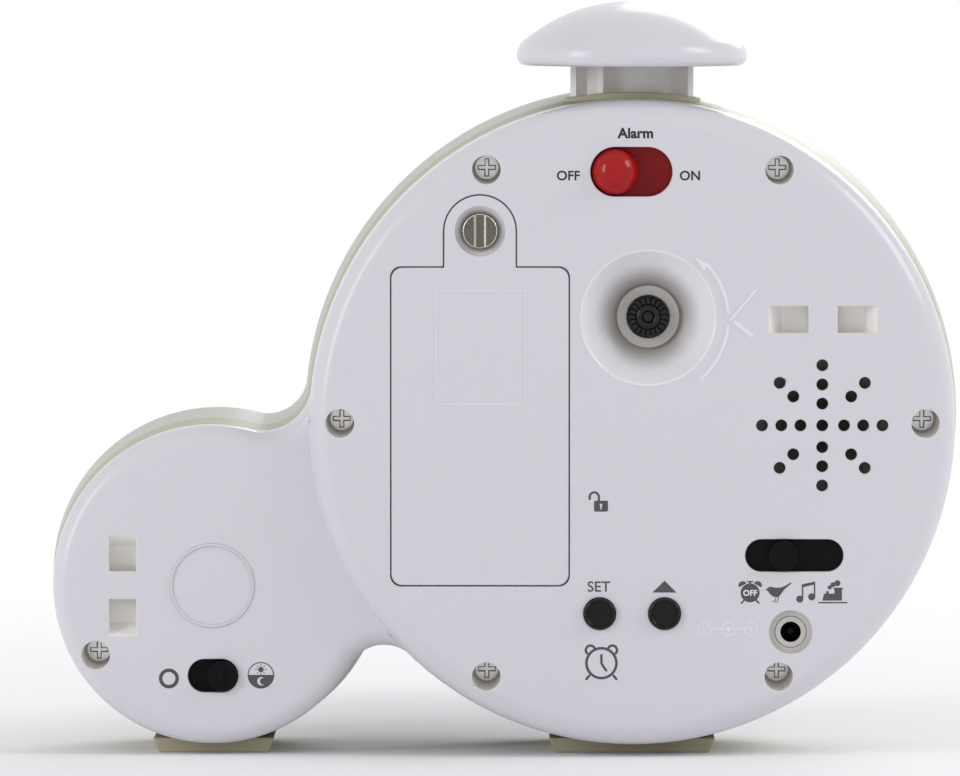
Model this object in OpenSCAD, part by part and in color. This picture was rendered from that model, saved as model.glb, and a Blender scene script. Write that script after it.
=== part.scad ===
// Kids alarm clock with night light: two-lobed housing, dial, light window and mushroom button.
// Every piece is drawn as seen from behind, lying on its rear face: x to the side, y up the
// clock, z the depth from the large lobe's rear face (0) to the front rim (body_depth).
// stand_up() then stands it on the table. The mushroom button's pieces are drawn upright.

/* [Body] */
// Radius of the large lobe at its rear edge
big_r = 64.8; // [63.5:0.1:67]
// Radius of the small lobe at its rear edge
small_r = 32; // [31.5:0.1:34]
// Sideways distance between the lobes' centres
lobe_dx = 84.5; // [83:0.5:87]
// Depth from the rear face to the front rim
body_depth = 46; // [45:0.5:50]
// How much the sides grow per millimetre of depth
draft = 0.05; // [0.03:0.005:0.06]
// Radius of the valley above the neck
neck_top_r = 10; // [8:0.5:14]
// Radius of the valley under the neck
neck_low_r = 8; // [6:0.5:12]
// How far the small lobe's rear face lies in front of the large one's
small_step = 4.5; // [3.5:0.5:6]
// Rounding of the large lobe's rear edge
big_edge = 5; // [4:0.5:6]
// Rounding of the small lobe's rear edge
small_edge = 4; // [3:0.5:5]
// Rounding of the front rim
front_edge = 3; // [2:0.5:4]
// Wall thickness of the three housing shells
wall = 2; // [1.8:0.1:2.2]
// Depth of the rear cover's side wall
cover_depth = 10; // [9.5:0.5:11]
// Depth of the coloured middle band
band_depth = 12; // [10:0.5:14]
// Gap between the housing and the table
ground_gap = 0.3; // [0.2:0.1:0.8]

/* [Feet] */
// Width of the foot under the large lobe
big_foot_w = 31.2; // [28:0.2:36]
// Width of the foot under the small lobe
small_foot_w = 22; // [18:0.2:26]
// How much wider a foot is where it meets the housing
foot_flare = 2.4; // [1:0.1:4]
// Distance from the rear face to the feet
foot_start = 12; // [11:0.5:16]
// Depth of the feet
foot_depth = 29; // [24:0.5:30]

/* [Case screws] */
// Distance of the screw wells from the large lobe's centre
well_ring_r = 58.7; // [58:0.1:58.8]
// Bore of a screw well
well_d = 5.8; // [5.6:0.1:6]
// Wall of a screw well
well_wall = 1; // [0.9:0.1:1.1]
// Depth of a screw well
well_depth = 23; // [22:0.5:24]
// Diameter of the case screws
screw_d = 2.6; // [2.4:0.1:3]

/* [Battery compartment] */
// Diameter of an AA cell
cell_d = 14.2; // [13.9:0.1:14.4]
// Length of an AA cell with its cap
cell_len = 50.3; // [49.5:0.1:50.5]
// Width of the battery door
door_w = 35.5; // [35:0.5:38]
// Height of the battery door without its tab
door_h = 63.7; // [63:0.1:66]
// Thickness of the battery door
door_th = 2; // [1.8:0.1:2.2]
// Width of the door's tab
tab_w = 14.3; // [13.5:0.1:16]
// Corner rounding of the door
door_corner = 2.2; // [1.5:0.1:3]
// Head diameter of the coin screw
coin_head_d = 7; // [6.5:0.1:8]

/* [Controls] */
// Length and height of the alarm switch's slot
alarm_slot = [16.4, 9.9]; // [9.8:0.1:17]
// Knob diameter of the alarm switch
alarm_knob_d = 9.5; // [9:0.1:9.6]
// Length and height of the sound selector's slot
sound_slot = [19.7, 6.5]; // [6.4:0.1:20]
// Distance between two positions of the sound selector
sound_pitch = 4.4; // [4:0.1:4.4]
// Length and height of the night light switch's slot
light_slot = [10.1, 6.7]; // [6.4:0.1:11]
// Knob diameter of the two small slide switches
small_knob_d = 6; // [5.6:0.1:6.2]
// Diameter of the two push buttons
push_d = 6.2; // [5.8:0.1:6.6]
// Travel of the two push buttons
push_travel = 0.8; // [0.6:0.1:1]
// Diameter of the time setting knob
time_knob_d = 8.2; // [7.6:0.1:8.8]
// Diameter of the bowl around the time setting knob
dish_d = 26.8; // [25:0.1:28]
// Depth of that bowl
dish_depth = 8; // [7:0.1:9]
// Width of the flat collar in the middle of the bowl
collar_d = 12.6; // [12:0.1:13.4]
// Ridges round the time setting knob
time_knob_ridges = 20; // [16:1:24]

/* [Mushroom button] */
// Width of the cap
cap_d = 46.6; // [44:0.2:48]
// Height of the dome above the cap's widest place
cap_dome = 11.1; // [10.6:0.1:12]
// Radius of the dome
dome_r = 34; // [32:0.5:36]
// Gap under the cap, in which it can be pressed
cap_gap = 4.6; // [4:0.1:6]
// Diameter of the stem
stem_d = 24.9; // [24:0.1:25.2]
// Travel of the button
cap_travel = 3; // [2:0.1:3]

/* [Dial] */
// Diameter of the round opening for the dial
dial_open_d = 107; // [104:0.5:108]
// Length of the minute hand from the centre
minute_len = 44; // [38:0.5:48]
// Length of the hour hand from the centre
hour_len = 30; // [24:0.5:34]
// Length of the second hand from the centre
second_len = 46; // [40:0.5:48]
// Space for the hands between the dial and the lens
hand_room = 4.6; // [4.4:0.1:5]
// Thickness of the lens
lens_th = 1.5; // [1.2:0.1:2]
// Thickness of the dial
dial_th = 1.2; // [1:0.1:1.6]

/* [Movement] */
// Gear module of the setting gears
gear_m = 0.5; // [0.5:0.01:0.52]
// Depth of the movement case
movement_depth = 13.8; // [13.4:0.1:14]

/* [Night light window] */
// Diameter of the light window
window_d = 45.6; // [42:0.2:46]
// Width of the opening for the display
display_w = 30; // [26:0.5:32]
// Height of the opening for the display
display_h = 15; // [12:0.5:16]

/* [Clearances] */
// Gap beside a switch knob, push button or sliding plate
slide_gap = 0.15; // [0.1:0.01:0.2]
// Radial gap between a shaft or screw and its hole
shaft_gap = 0.05; // [0.04:0.01:0.08]
// Gap between two fixed pieces that are put together loosely
fit_gap = 0.2; // [0.1:0.05:0.3]
// Gap round the battery door
door_gap = 0.25; // [0.2:0.05:0.3]
// Radial gap between the mushroom's stem and its guide
stem_gap = 0.3; // [0.2:0.05:0.4]

/* [Hidden] */
$fn = 72;
cut = 1;            // how far a cut runs past the face it starts from
sink = 0.5;         // how deep a boss or rib is sunk into the wall that carries it
touch = 0.1;        // how far two parts of one piece run into each other
shell_join = 0.08;  // how far the valleys bite into the lobes, so that the faces cross cleanly

// ---- the two-lobed outline ----
function grow(t) = draft * max(0, t - big_edge);
front_grow = grow(body_depth);
big_front_r = big_r + front_grow;
small_front_r = small_r + front_grow;
big_at = [-(lobe_dx + small_front_r - big_front_r) / 2, big_front_r + ground_gap];
small_at = [big_at[0] + lobe_dx, small_front_r + ground_gap];
lobe_gap = norm(small_at - big_at);
neck_dir = (small_at - big_at) / lobe_gap;
neck_up = [-neck_dir[1], neck_dir[0]];
function valley_at(side, r) = let (
  along = ((big_r + r) ^ 2 - (small_r + r) ^ 2 + lobe_gap ^ 2) / (2 * lobe_gap),
  high = sqrt((big_r + r) ^ 2 - along ^ 2)
) big_at + along * neck_dir + side * high * neck_up;
valleys = [[valley_at(1, neck_top_r), neck_top_r], [valley_at(-1, neck_low_r), neck_low_r]];

// ---- depths ----
alarm_ball_r = alarm_knob_d / 2;
plate_t = wall + slide_gap;
cap_at_depth = body_depth / 2;
front_reach = max(body_depth, cap_at_depth + cap_d / 2);
rear_reach = max(alarm_ball_r - plate_t, cap_d / 2 - cap_at_depth);
band_end = cover_depth + band_depth;
lens_t = body_depth - wall - lens_th;
dial_face_t = lens_t - hand_room;
dial_t = dial_face_t - dial_th;
movement_t = dial_t - movement_depth;
board_t = 8.4;
board_th = 1.2;
dial_rim = 1.3;  // how far the dial and lens reach behind the front wall
dial_r = dial_open_d / 2 + dial_rim;
window_r = window_d / 2;

// ---- screws, wells and posts ----
well_r = well_d / 2 + well_wall;
well_seat_th = 1.6;
case_head_gap = 0.4;
case_head_h = 1.9;
case_screw_grip = 12;
screw_end_room = 0.6;
case_boss_r = 3.4;
cross_w = 0.8;
cross_depth = 0.9;
board_screw_r = 0.95;
board_screw_len = 4.6;
board_head_r = 2;
board_head_h = 1.3;
board_hole_r = 1.1;
post_r = 2.1;
main_posts = [[-9.5, -23.6], [9.9, -24], [9.9, -43.8], [-20, -43.2], [-38.2, -34.6]];
alarm_posts = [[-18.8, 50], [18.8, 50]];
light_posts = [[-12.5, -19.5], [12.5, -19.5]];
small_well_at = [23.45, -14.15];

// ---- battery compartment, drawn round the door's middle ----
door_at = [30.6, -0.55];
cell_gap = 0.9;
bay_w = 2 * cell_d + 2 * cell_gap;
bay_h = cell_len + 7.2;
bay_wall = 1.4;
door_to_cell = 1.1;
cell_t = door_th + door_to_cell + cell_d / 2;
bay_floor_t = cell_t + cell_d / 2 + fit_gap;
tab_hole_at = [0, door_h / 2 + 7.3];
ledge_t = door_th + 0.1;
ledge_th = 1.6;
hook_x = 9;          // from the door's middle to a hook
hook_w = 6;
hook_leg = 1.5;
hook_foot = 1.7;
hook_th = 1.2;
hook_gap = 0.3;
hook_swing = 1.8;    // space in which a hook turns when the door opens
coin_recess_d = coin_head_d + 3;
coin_recess_t = 1.2;
coin_head_t = 0.1;
coin_slot_w = 2;
coin_slot_depth = 0.65;
coin_shank_r = 1.5;
coin_tip_t = 7;
coin_boss_r = 4.2;
insert_r = 2.3;
insert_gap = 0.25;
cell_x = cell_d / 2 + cell_gap / 2 + 0.05;
cell_end = bay_h / 2 - 0.6;
cell_bevel = 0.6;
cell_cap_r = 2.6;
cell_cap_h = 1.4;
contact_w = 11;
contact_th = 0.5;
battery_spring_r = 3.4;
battery_wire_r = 0.35;
battery_spring_turns = 4;
spring_len = bay_h - cell_len - 1.4;
spring_bite = 0.08;  // how far a spring's flat end turns are ground off

// ---- control places, from the middle of their lobe ----
alarm_at = [0.3, 50.5];
sound_at = [-32.4, -26.4];
set_at = [6.6, -38.1];
up_at = [-6.4, -38.1];
jack_at = [-31.7, -41.8];
speaker_at = [-37.95, -0.3];
tie_slot_at = [-38.1, 20.9];
small_tie_at = [18, 0];
light_at = [-0.15, -18.2];
alarm_travel = alarm_slot[0] - alarm_knob_d - 2 * slide_gap;
sound_ends = 3 * sound_pitch;
light_travel = light_slot[0] - small_knob_d - 2 * slide_gap;
alarm_rest = alarm_travel / 2;
sound_rest = sound_pitch / 2;
light_rest = -light_travel / 2;

// ---- slide switches and push buttons ----
plate_th = 1;
alarm_plate = [24, 12];
sound_plate = [24, 8.4];
light_plate = [14.6, 8.2];
peg_w = 3;
light_peg_w = 2;
peg_h = 1.6;
peg_end_t = board_t - 2.2;
switch_floor_t = board_t - 2;
switch_gap = 0.85;
switch_end_wall = 3;
alarm_switch_h = 7;
light_switch_h = 6;
knob_out = 1.2;
ridge_w = 0.8;
ridge_out = 1.6;
ridge_short = 0.8;
push_out = 1;
push_flange = 0.9;
push_flange_th = 0.7;
push_stem_r = 1.5;
tact_w = 6;
tact_h = 3.2;
tact_rest_t = board_t - 3;
tact_spare = 0.3;

// ---- boards and power inlet ----
alarm_board_size = [43, 9.6];
light_board_size = [29, 8];
light_board_y = -19.2;
main_board_outline = [[-44.5, -20.5], [13, -20.5], [13, -46.5], [-36.4, -46.5], [-44.5, -35]];
jack_w = 9;
jack_end_t = 12;
jack_collar_r = 3.1;
jack_bore_r = 2.05;
jack_bore_t = 10.8;
jack_pin_r = 0.65;
jack_recess_r = 4.3;
jack_recess_t = 1;

// ---- moulded details of the rear cover ----
bowl_wall = 1.6;
collar_t = 5.6;
knob_face_t = 4.4;
knob_pocket_t = 7.6;
tie_depth = 3.9;
tie_pocket = [7.9, 5.4];
tie_middle = 6.85;
small_tie_pocket = [7.4, 5.5];
small_tie_middle = 6.5;
tie_ramp = 2.4;
tie_wall = 1.3;
sound_hole_r = 1.175;
sound_hole_rings = [4.36, 8.2, 12.06];
speaker_ring_h = 2.6;
speaker_ring_wall = 1.1;
roundel_r = 8.2;
roundel_w = 0.6;

// ---- gear train, from the middle of the large lobe ----
set_teeth = 16;
motion_teeth = 30;
motion_pinion_teeth = 8;
cannon_teeth = 10;
hour_teeth = 32;
second_m = 0.38;
rotor_teeth = 8;
step_teeth = 40;
step_pinion_teeth = 8;
second_teeth = 48;
motion_r = gear_m * (cannon_teeth + motion_teeth) / 2;
set_r = gear_m * (set_teeth + motion_teeth) / 2;
knob_angle = 98.3;
function polar(r, a) = [r * cos(a), r * sin(a)];
motion_at = polar(motion_r, knob_angle);
time_knob_at = polar(motion_r + set_r, knob_angle);
step_angle = 200;
step_at = polar(second_m * (step_pinion_teeth + second_teeth) / 2, step_angle);
rotor_at = step_at + polar(second_m * (rotor_teeth + step_teeth) / 2, step_angle);
second_arbor_r = 0.5;
cannon_bore_r = second_arbor_r + shaft_gap;
cannon_r = 1.3;
hour_bore_r = cannon_r + shaft_gap;
hour_tube_r = 2.3;
bush_bore_r = hour_tube_r + shaft_gap;
bush_r = 4;
nut_r = 6.2;
nut_h = 1.4;
pin_r = 0.6;
pin_end = 0.2;      // end play of an arbor pin
bearing_r = 1.4;
knob_arbor_r = 1.5;
setting_bearing_r = 2.6;
case_wall = 1.2;
movement_lo = [-30, -18];
movement_hi = [11.6, 31];
plate_depth = 2;
plate_rear_t = dial_t - plate_depth;
stator_t = movement_t + 2.4;
stator_th = 0.8;
stator_hole_r = 2.9;
stator_outline = [[-28.6, -14], [-12.4, -11], [-12.4, -1.5], [-18, -0.5], [-22.5, 3],
  [-25.4, 3], [-25.4, 20], [-20, 22], [-20, 27], [-28.6, 27]];
stator_posts = [[-27, -12], [-27, 25]];
stator_post_r = 1.6;
coil_at = [-19.2, 12.5];
coil_winding = [6, 15, 5];
coil_flange = [8, 1.4, 6.6];
rotor_r = 2.6;
rotor_h = 1.6;
second_t = movement_t + 4.4;
second_gear_h = 0.8;
gear_t = movement_t + 6.4;
gear_h = 1.4;
motion_t = gear_t + 0.2;
motion_h = 1;
motion_pinion_h = 2.4;
hour_t = motion_t + 1.9;
hour_h = 1.2;

// ---- hands ----
hand_th = 0.5;
hour_hand_t = dial_face_t + 2;
minute_hand_t = hour_hand_t + hand_th + 0.4;
second_hand_t = minute_hand_t + hand_th + 0.2;
arbor_end_t = lens_t - 0.6;
hour_angle = 305;
minute_angle = 50;
second_angle = 180;

// ---- night light ----
light_post_angles = [75, 195, 292];
light_post_r = 26.6;
light_boss_r = 1.7;
ear_r = 3;
led_board_r = 20.4;
led_ring_r = 14.2;
led_r = 1.5;
led_h = 2;
diffuser_r = window_r + 1;
diffuser_th = 2;
diffuser_t = body_depth - wall - diffuser_th;
led_board_t = diffuser_t - 12.6;
led_face_t = led_board_t + board_th;
reflector_r = 17.6;
reflector_wall = 1.2;
holder_wall = 1.2;
holder_w = display_w - 2 * fit_gap;
holder_h = display_h - 2 * fit_gap;

// ---- mushroom button, heights above the table ----
stem_r = stem_d / 2;
cap_low = 1.9;                              // height of the cap under its widest place
cap_rim = big_at[1] + big_front_r + cap_gap;
cap_base = cap_rim + cap_low;
cap_round = ((cap_d / 2) ^ 2 + (dome_r - cap_dome) ^ 2 - dome_r ^ 2) / (cap_d - 2 * dome_r);
dome_at = cap_base + cap_dome - dome_r;     // height of the dome's centre
cap_wall = 2.2;
stem_bottom = big_at[1] + big_r - 9;
stem_lip = 0.7;
stem_lip_h = 1.4;
stem_bore_r = 10.4;
core_bore_r = 6;
web_z = stem_bottom + 5.6;
web_th = 1.4;
plunger_r = 2;
pin_bottom = stem_bottom - 3;
snooze_floor = stem_bottom - 11.5;
snooze_w = 6;
bay_wide = [-11.2, 5.8, 8.4];               // sideways reach of a bay, and the radius of its floor
bay_narrow = [7.1, 11.3, 9.8];
bay_side_y = 3;                             // how far forward the bays reach at the stem's sides
guide_r = stem_r + stem_gap;
guide_wall = 0.85;
guide_surface_r = big_r + grow(cap_at_depth - guide_r);
guide_plate_th = 1.6;
guide_plate = [34, 24];
guide_leg_w = 20;
flange_z = stem_bottom + stem_lip_h + fit_gap;
return_spring_r = 7.4;
return_wire_r = 0.4;
return_spring_turns = 6;

// ---- shared forms ----
module stand_up() translate([0, (front_reach - rear_reach) / 2, 0]) rotate([90, 0, 0]) children();
module upright() translate([big_at[0], (front_reach - rear_reach) / 2 - cap_at_depth, 0]) children();
module at_big(p = [0, 0]) translate([big_at[0] + p[0], big_at[1] + p[1], 0]) children();
module at_small(p = [0, 0]) translate([small_at[0] + p[0], small_at[1] + p[1], 0]) children();
module lift(t) translate([0, 0, t]) children();
module disc(r, t0, t1) lift(t0) cylinder(r = r, h = t1 - t0);
module tube(r_out, r_in, t0, t1) difference() {
  disc(r_out, t0, t1);
  disc(r_in, t0 - cut, t1 + cut);
}
module block(size, t0, t1) translate([-size[0] / 2, -size[1] / 2, t0]) cube([size[0], size[1], t1 - t0]);
module rounded_plate(w, h, r, t0, t1) union() {
  block([w - 2 * r, h], t0, t1);
  block([w, h - 2 * r], t0, t1);
  for (x = [-1, 1], y = [-1, 1]) translate([x * (w / 2 - r), y * (h / 2 - r)]) disc(r, t0, t1);
}
// Slot with round ends
module slot(size, t0, t1) union() {
  block([size[0] - size[1], size[1]], t0, t1);
  for (x = [-1, 1]) translate([x * (size[0] - size[1]) / 2, 0]) disc(size[1] / 2, t0, t1);
}

// Half section of a lobe between two depths, with rounded rear and front edges
module lobe_section(r, t0, t1, rear_e, front_e) {
  rear_r = r + grow(t0 + rear_e);
  front_r = r + grow(t1 - front_e);
  polygon([[0, t0], [rear_r - rear_e, t0], [rear_r - rear_e, t0 + rear_e], [rear_r, t0 + rear_e],
    [front_r, t1 - front_e], [front_r - front_e, t1 - front_e], [front_r - front_e, t1], [0, t1]]);
  if (rear_e > 0) intersection() {
    translate([rear_r - rear_e, t0 + rear_e]) circle(rear_e);
    translate([rear_r - rear_e, t0]) square(rear_e);
  }
  if (front_e > 0) intersection() {
    translate([front_r - front_e, t1 - front_e]) circle(front_e);
    translate([front_r - front_e, t1 - front_e]) square(front_e);
  }
}

// Half section of what a valley takes out of the neck: the mirror image of lobe_section
module valley_section(r, t0, t1, rear_e, front_e) {
  rear_r = r - grow(t0 + rear_e) + shell_join;
  front_r = r - grow(t1 - front_e) + shell_join;
  polygon([[0, t0 - cut], [rear_r, t0 - cut], [rear_r, t0 + rear_e], [front_r, t1 - front_e],
    [front_r, t1 + cut], [0, t1 + cut]]);
  if (rear_e > 0) difference() {
    translate([rear_r - sink, t0 - cut]) square([rear_e + sink, rear_e + cut]);
    translate([rear_r + rear_e, t0 + rear_e]) circle(rear_e);
  }
  if (front_e > 0) difference() {
    translate([front_r - sink, t1 - front_e]) square([front_e + sink, front_e + cut]);
    translate([front_r + front_e, t1 - front_e]) circle(front_e);
  }
}

// The two lobes and the neck between them, inset by a wall thickness
module lobed(inset, big_t, small_t, t1, rear_big_e, rear_small_e, front_e) {
  at_big() rotate_extrude() lobe_section(big_r - inset, big_t, t1, rear_big_e, front_e);
  at_small() rotate_extrude() lobe_section(small_r - inset, small_t, t1, rear_small_e, front_e);
  difference() {
    lift(small_t) linear_extrude(t1 - small_t)
      polygon([big_at, valleys[0][0], small_at, valleys[1][0]]);
    for (v = valleys) translate([v[0][0], v[0][1], 0])
      rotate_extrude() valley_section(v[1] + inset, small_t, t1, rear_small_e, front_e);
  }
}

module at_big_wells() for (a = [0:60:300]) at_big(polar(well_ring_r, a)) children();
module at_wells() {
  at_big_wells() children();
  at_small(small_well_at) children();
}

// Battery door with its round tab
module door_plate(grow_by, t0, t1) at_big(door_at) union() {
  w = door_w + 2 * grow_by;
  h = door_h + 2 * grow_by;
  rounded_plate(w, h, door_corner, t0, t1);
  translate([0, tab_hole_at[1] / 2]) block([tab_w + 2 * grow_by, tab_hole_at[1]], t0, t1);
  translate(tab_hole_at) disc(tab_w / 2 + grow_by, t0, t1);
}

// Spur gear with straight-sided teeth and running backlash
module gear(teeth, m, t0, t1, bore_r, turn) {
  tip = m * (teeth / 2 + 0.7);
  root = m * (teeth / 2 - 1);
  step = 360 / teeth;
  difference() {
    lift(t0) linear_extrude(t1 - t0) rotate(turn) polygon([for (i = [0:teeth - 1])
      for (p = [[root, -0.30], [tip, -0.11], [tip, 0.11], [root, 0.30]]) polar(p[0], (i + p[1]) * step)]);
    disc(bore_r, t0 - cut, t1 + cut);
  }
}

// Coil spring along z: a round wire swept round a helix with flat end turns
module coil(r, wire_r, height, turns, sides = 8, steps_per_turn = 14) {
  count = turns * steps_per_turn;
  rise = height - 2 * wire_r;
  function climb(i) = wire_r + rise * min(1, max(0, (i / steps_per_turn - 0.75) / (turns - 1.5)));
  function ring(i) = let (a = i * 360 / steps_per_turn) [for (j = [0:sides - 1])
    let (b = j * 360 / sides, q = r + wire_r * cos(b)) [q * cos(a), q * sin(a), climb(i) + wire_r * sin(b)]];
  points = [for (i = [0:count]) each ring(i)];
  skin = [for (i = [0:count - 1], j = [0:sides - 1]) let (k = (j + 1) % sides)
    each [[i * sides + j, i * sides + k, (i + 1) * sides + k],
      [i * sides + j, (i + 1) * sides + k, (i + 1) * sides + j]]];
  start_cap = [[for (j = [sides - 1:-1:0]) j]];
  end_cap = [[for (j = [0:sides - 1]) count * sides + j]];
  polyhedron(points, concat(skin, start_cap, end_cap));
}

// ---- housing ----
module screw_wells() {
  at_big_wells() disc(well_r, sink, well_depth);
  at_small(small_well_at) disc(well_r, small_step + sink, well_depth);
}
// The small lobe's well stands so close to the wall that the other shells make room for it
module small_well_room() at_small(small_well_at) disc(well_r + fit_gap, 0, well_depth);
module well_bores() at_wells() {
  disc(well_d / 2, -cut, well_depth - well_seat_th);
  disc(screw_d / 2 + 2 * shaft_gap, 0, well_depth + cut);
}
module board_posts(posts, face_t) for (p = posts) translate(p)
  tube(post_r, board_screw_r + shaft_gap, face_t + wall - touch, face_t + board_t);

// Two pockets under a bar, with the outer end of each ramped, for a cable tie
module tie_ramp_block(reach, size, t1) rotate([90, 0, 0]) translate([0, 0, -size / 2])
  linear_extrude(size) polygon([[-reach, -cut], [reach, -cut], [reach, 0], [reach - tie_ramp, t1],
    [-reach, t1]]);
module tie_slot(pocket, middle, face_t) lift(face_t) {
  translate([middle, 0]) tie_ramp_block(pocket[0] / 2, pocket[1], tie_depth);
  mirror([1, 0, 0]) translate([middle, 0]) tie_ramp_block(pocket[0] / 2, pocket[1], tie_depth);
  block([2 * middle - pocket[0] + 2 * touch, pocket[1]], wall, tie_depth);
}
module tie_box(pocket, middle, face_t) lift(face_t)
  block([2 * middle + pocket[0] + 2 * tie_wall, pocket[1] + 2 * tie_wall], sink, tie_depth + tie_wall);

module speaker_holes() {
  disc(sound_hole_r, -cut, wall + cut);
  for (a = [0:90:270], r = sound_hole_rings) rotate(a) translate([r, 0])
    disc(sound_hole_r, -cut, wall + cut);
  for (a = [45:90:315], r = [sound_hole_rings[1], sound_hole_rings[2]]) rotate(a) translate([r, 0])
    disc(sound_hole_r, -cut, wall + cut);
}

// Round bowl with a flat collar in its middle, where the time setting knob stands
bowl_r = ((dish_d / 2) ^ 2 + dish_depth ^ 2) / (2 * dish_depth);
module bowl(extra) lift(dish_depth - bowl_r) sphere(bowl_r + extra);
module bowl_shell() intersection() {
  bowl(bowl_wall);
  disc(bowl_r + 2 * bowl_wall, sink, dish_depth + 2 * bowl_wall);
}
module bowl_cut() {
  difference() {
    bowl(0);
    disc(collar_d / 2, collar_t, dish_depth + cut);
  }
  disc(time_knob_d / 2 + fit_gap, 0, knob_pocket_t);
  disc(knob_arbor_r + shaft_gap, 0, dish_depth + bowl_wall + cut);
}

speaker_r = 15;
module speaker_ring() tube(speaker_r + 0.3 + speaker_ring_wall, speaker_r + 0.3,
  wall - touch, wall + speaker_ring_h);

module rear_cover_solid() {
  difference() {
    lobed(0, 0, small_step, cover_depth, big_edge, small_edge, 0);
    lobed(wall, wall, small_step + wall, cover_depth + cut, big_edge - wall, small_edge - wall, 0);
  }
  screw_wells();
  at_big(door_at) block([bay_w + 2 * bay_wall, bay_h + 2 * bay_wall], ledge_t, bay_floor_t + bay_wall);
  door_plate(bay_wall, sink, ledge_t + ledge_th);
  at_big(door_at + tab_hole_at) disc(coin_boss_r, ledge_t, coin_tip_t + bay_wall);
  at_big(time_knob_at) bowl_shell();
  at_big(tie_slot_at) tie_box(tie_pocket, tie_middle, 0);
  at_small(small_tie_at) rotate(90) tie_box(small_tie_pocket, small_tie_middle, small_step);
  at_big() board_posts(main_posts, 0);
  at_big() board_posts(alarm_posts, 0);
  at_small() board_posts(light_posts, small_step);
  at_big(speaker_at) speaker_ring();
  at_small() tube(roundel_r + roundel_w / 2, roundel_r - roundel_w / 2, small_step - 0.3, small_step + sink);
}

module door_hook_slots() for (x = [-hook_x, hook_x]) at_big(door_at + [x, -door_h / 2])
  translate([0, (hook_leg + hook_swing - hook_foot - fit_gap) / 2])
    block([hook_w + 4 * fit_gap, hook_leg + hook_swing + hook_foot + fit_gap],
      ledge_t - 0.05, ledge_t + 2 * hook_th);

module rear_cover() color("#eeedf0") stand_up() difference() {
  rear_cover_solid();
  well_bores();
  door_plate(door_gap, -cut, ledge_t);
  at_big(door_at) block([bay_w, bay_h], 0, bay_floor_t);
  at_big(door_at + tab_hole_at) disc(insert_r + fit_gap / 4, coin_recess_t, coin_tip_t + 2 * fit_gap);
  door_hook_slots();
  at_big(time_knob_at) bowl_cut();
  at_big(alarm_at) slot(alarm_slot, -cut, wall + cut);
  at_big(sound_at) slot(sound_slot, -cut, wall + cut);
  at_small(light_at) lift(small_step) slot(light_slot, -cut, wall + cut);
  for (p = [set_at, up_at]) at_big(p) disc(push_d / 2 + slide_gap, -cut, wall + cut);
  at_big(jack_at) disc(jack_recess_r, -cut, jack_recess_t);
  at_big(jack_at) disc(jack_collar_r + shaft_gap, 0, wall + cut);
  at_big(speaker_at) speaker_holes();
  at_big(tie_slot_at) tie_slot(tie_pocket, tie_middle, 0);
  at_small(small_tie_at) rotate(90) tie_slot(small_tie_pocket, small_tie_middle, small_step);
  guide_hole();
}

// Round hole in the top of the large lobe for the guide of the mushroom button
module guide_hole() translate([big_at[0], big_at[1], cap_at_depth]) rotate([-90, 0, 0])
  cylinder(r = guide_r + guide_wall + fit_gap / 4, h = big_r + 2 * wall + front_grow);

module band_housing() color("#c9c6b4") stand_up() difference() {
  difference() {
    lobed(0, cover_depth, cover_depth, band_end, 0, 0, 0);
    lobed(wall, cover_depth - cut, cover_depth - cut, band_end + cut, 0, 0, 0);
  }
  small_well_room();
  guide_hole();
}

module at_light_bosses() for (a = light_post_angles) at_small(polar(light_post_r, a)) children();
module front_housing() color("#dcdad2") stand_up() difference() {
  union() {
    difference() {
      lobed(0, band_end, band_end, body_depth, 0, 0, front_edge);
      lobed(wall, band_end - cut, band_end - cut, body_depth - wall, 0, 0, 0);
      small_well_room();
    }
    at_wells() disc(case_boss_r, well_depth, body_depth - wall + sink);
    at_light_bosses() disc(light_boss_r, led_face_t, body_depth - wall + sink);
  }
  at_wells() disc(screw_d / 2 + shaft_gap, well_depth - cut, well_depth + case_screw_grip + screw_end_room);
  at_light_bosses() disc(board_screw_r + shaft_gap, led_board_t, led_face_t + board_screw_len + sink);
  at_big() disc(dial_open_d / 2, body_depth - 3 * wall, body_depth + cut);
  at_big() disc(dial_r + fit_gap, dial_t - fit_gap, body_depth - wall);
  at_small() disc(window_r, body_depth - 3 * wall, body_depth + cut);
  guide_hole();
}

foot_shoulder = 3;
module foot(w, r) difference() {
  top_w = w + foot_flare;
  lift(foot_start) linear_extrude(foot_depth)
    polygon([[-w / 2, 0], [w / 2, 0], [top_w / 2, foot_shoulder], [-top_w / 2, foot_shoulder]]);
  translate([0, r + front_grow + ground_gap, 0]) rotate_extrude($fn = 240)
    lobe_section(r, foot_start - cut, foot_start + foot_depth + cut, 0, 0);
}
module rubber_feet() color("#b9b49c") stand_up() {
  translate([big_at[0], 0, 0]) foot(big_foot_w, big_r);
  translate([small_at[0], 0, 0]) foot(small_foot_w, small_r);
}

module case_screw(seat_t) difference() {
  head_r = well_d / 2 - case_head_gap;
  union() {
    disc(head_r, seat_t - case_head_h, seat_t);
    disc(screw_d / 2, seat_t - touch, seat_t + well_seat_th + case_screw_grip);
  }
  for (a = [0, 90]) rotate(a)
    block([1.4 * head_r, cross_w], seat_t - case_head_h - cut, seat_t - case_head_h + cross_depth);
}
module case_screws() color("silver") stand_up() at_wells() case_screw(well_depth - well_seat_th);

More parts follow.
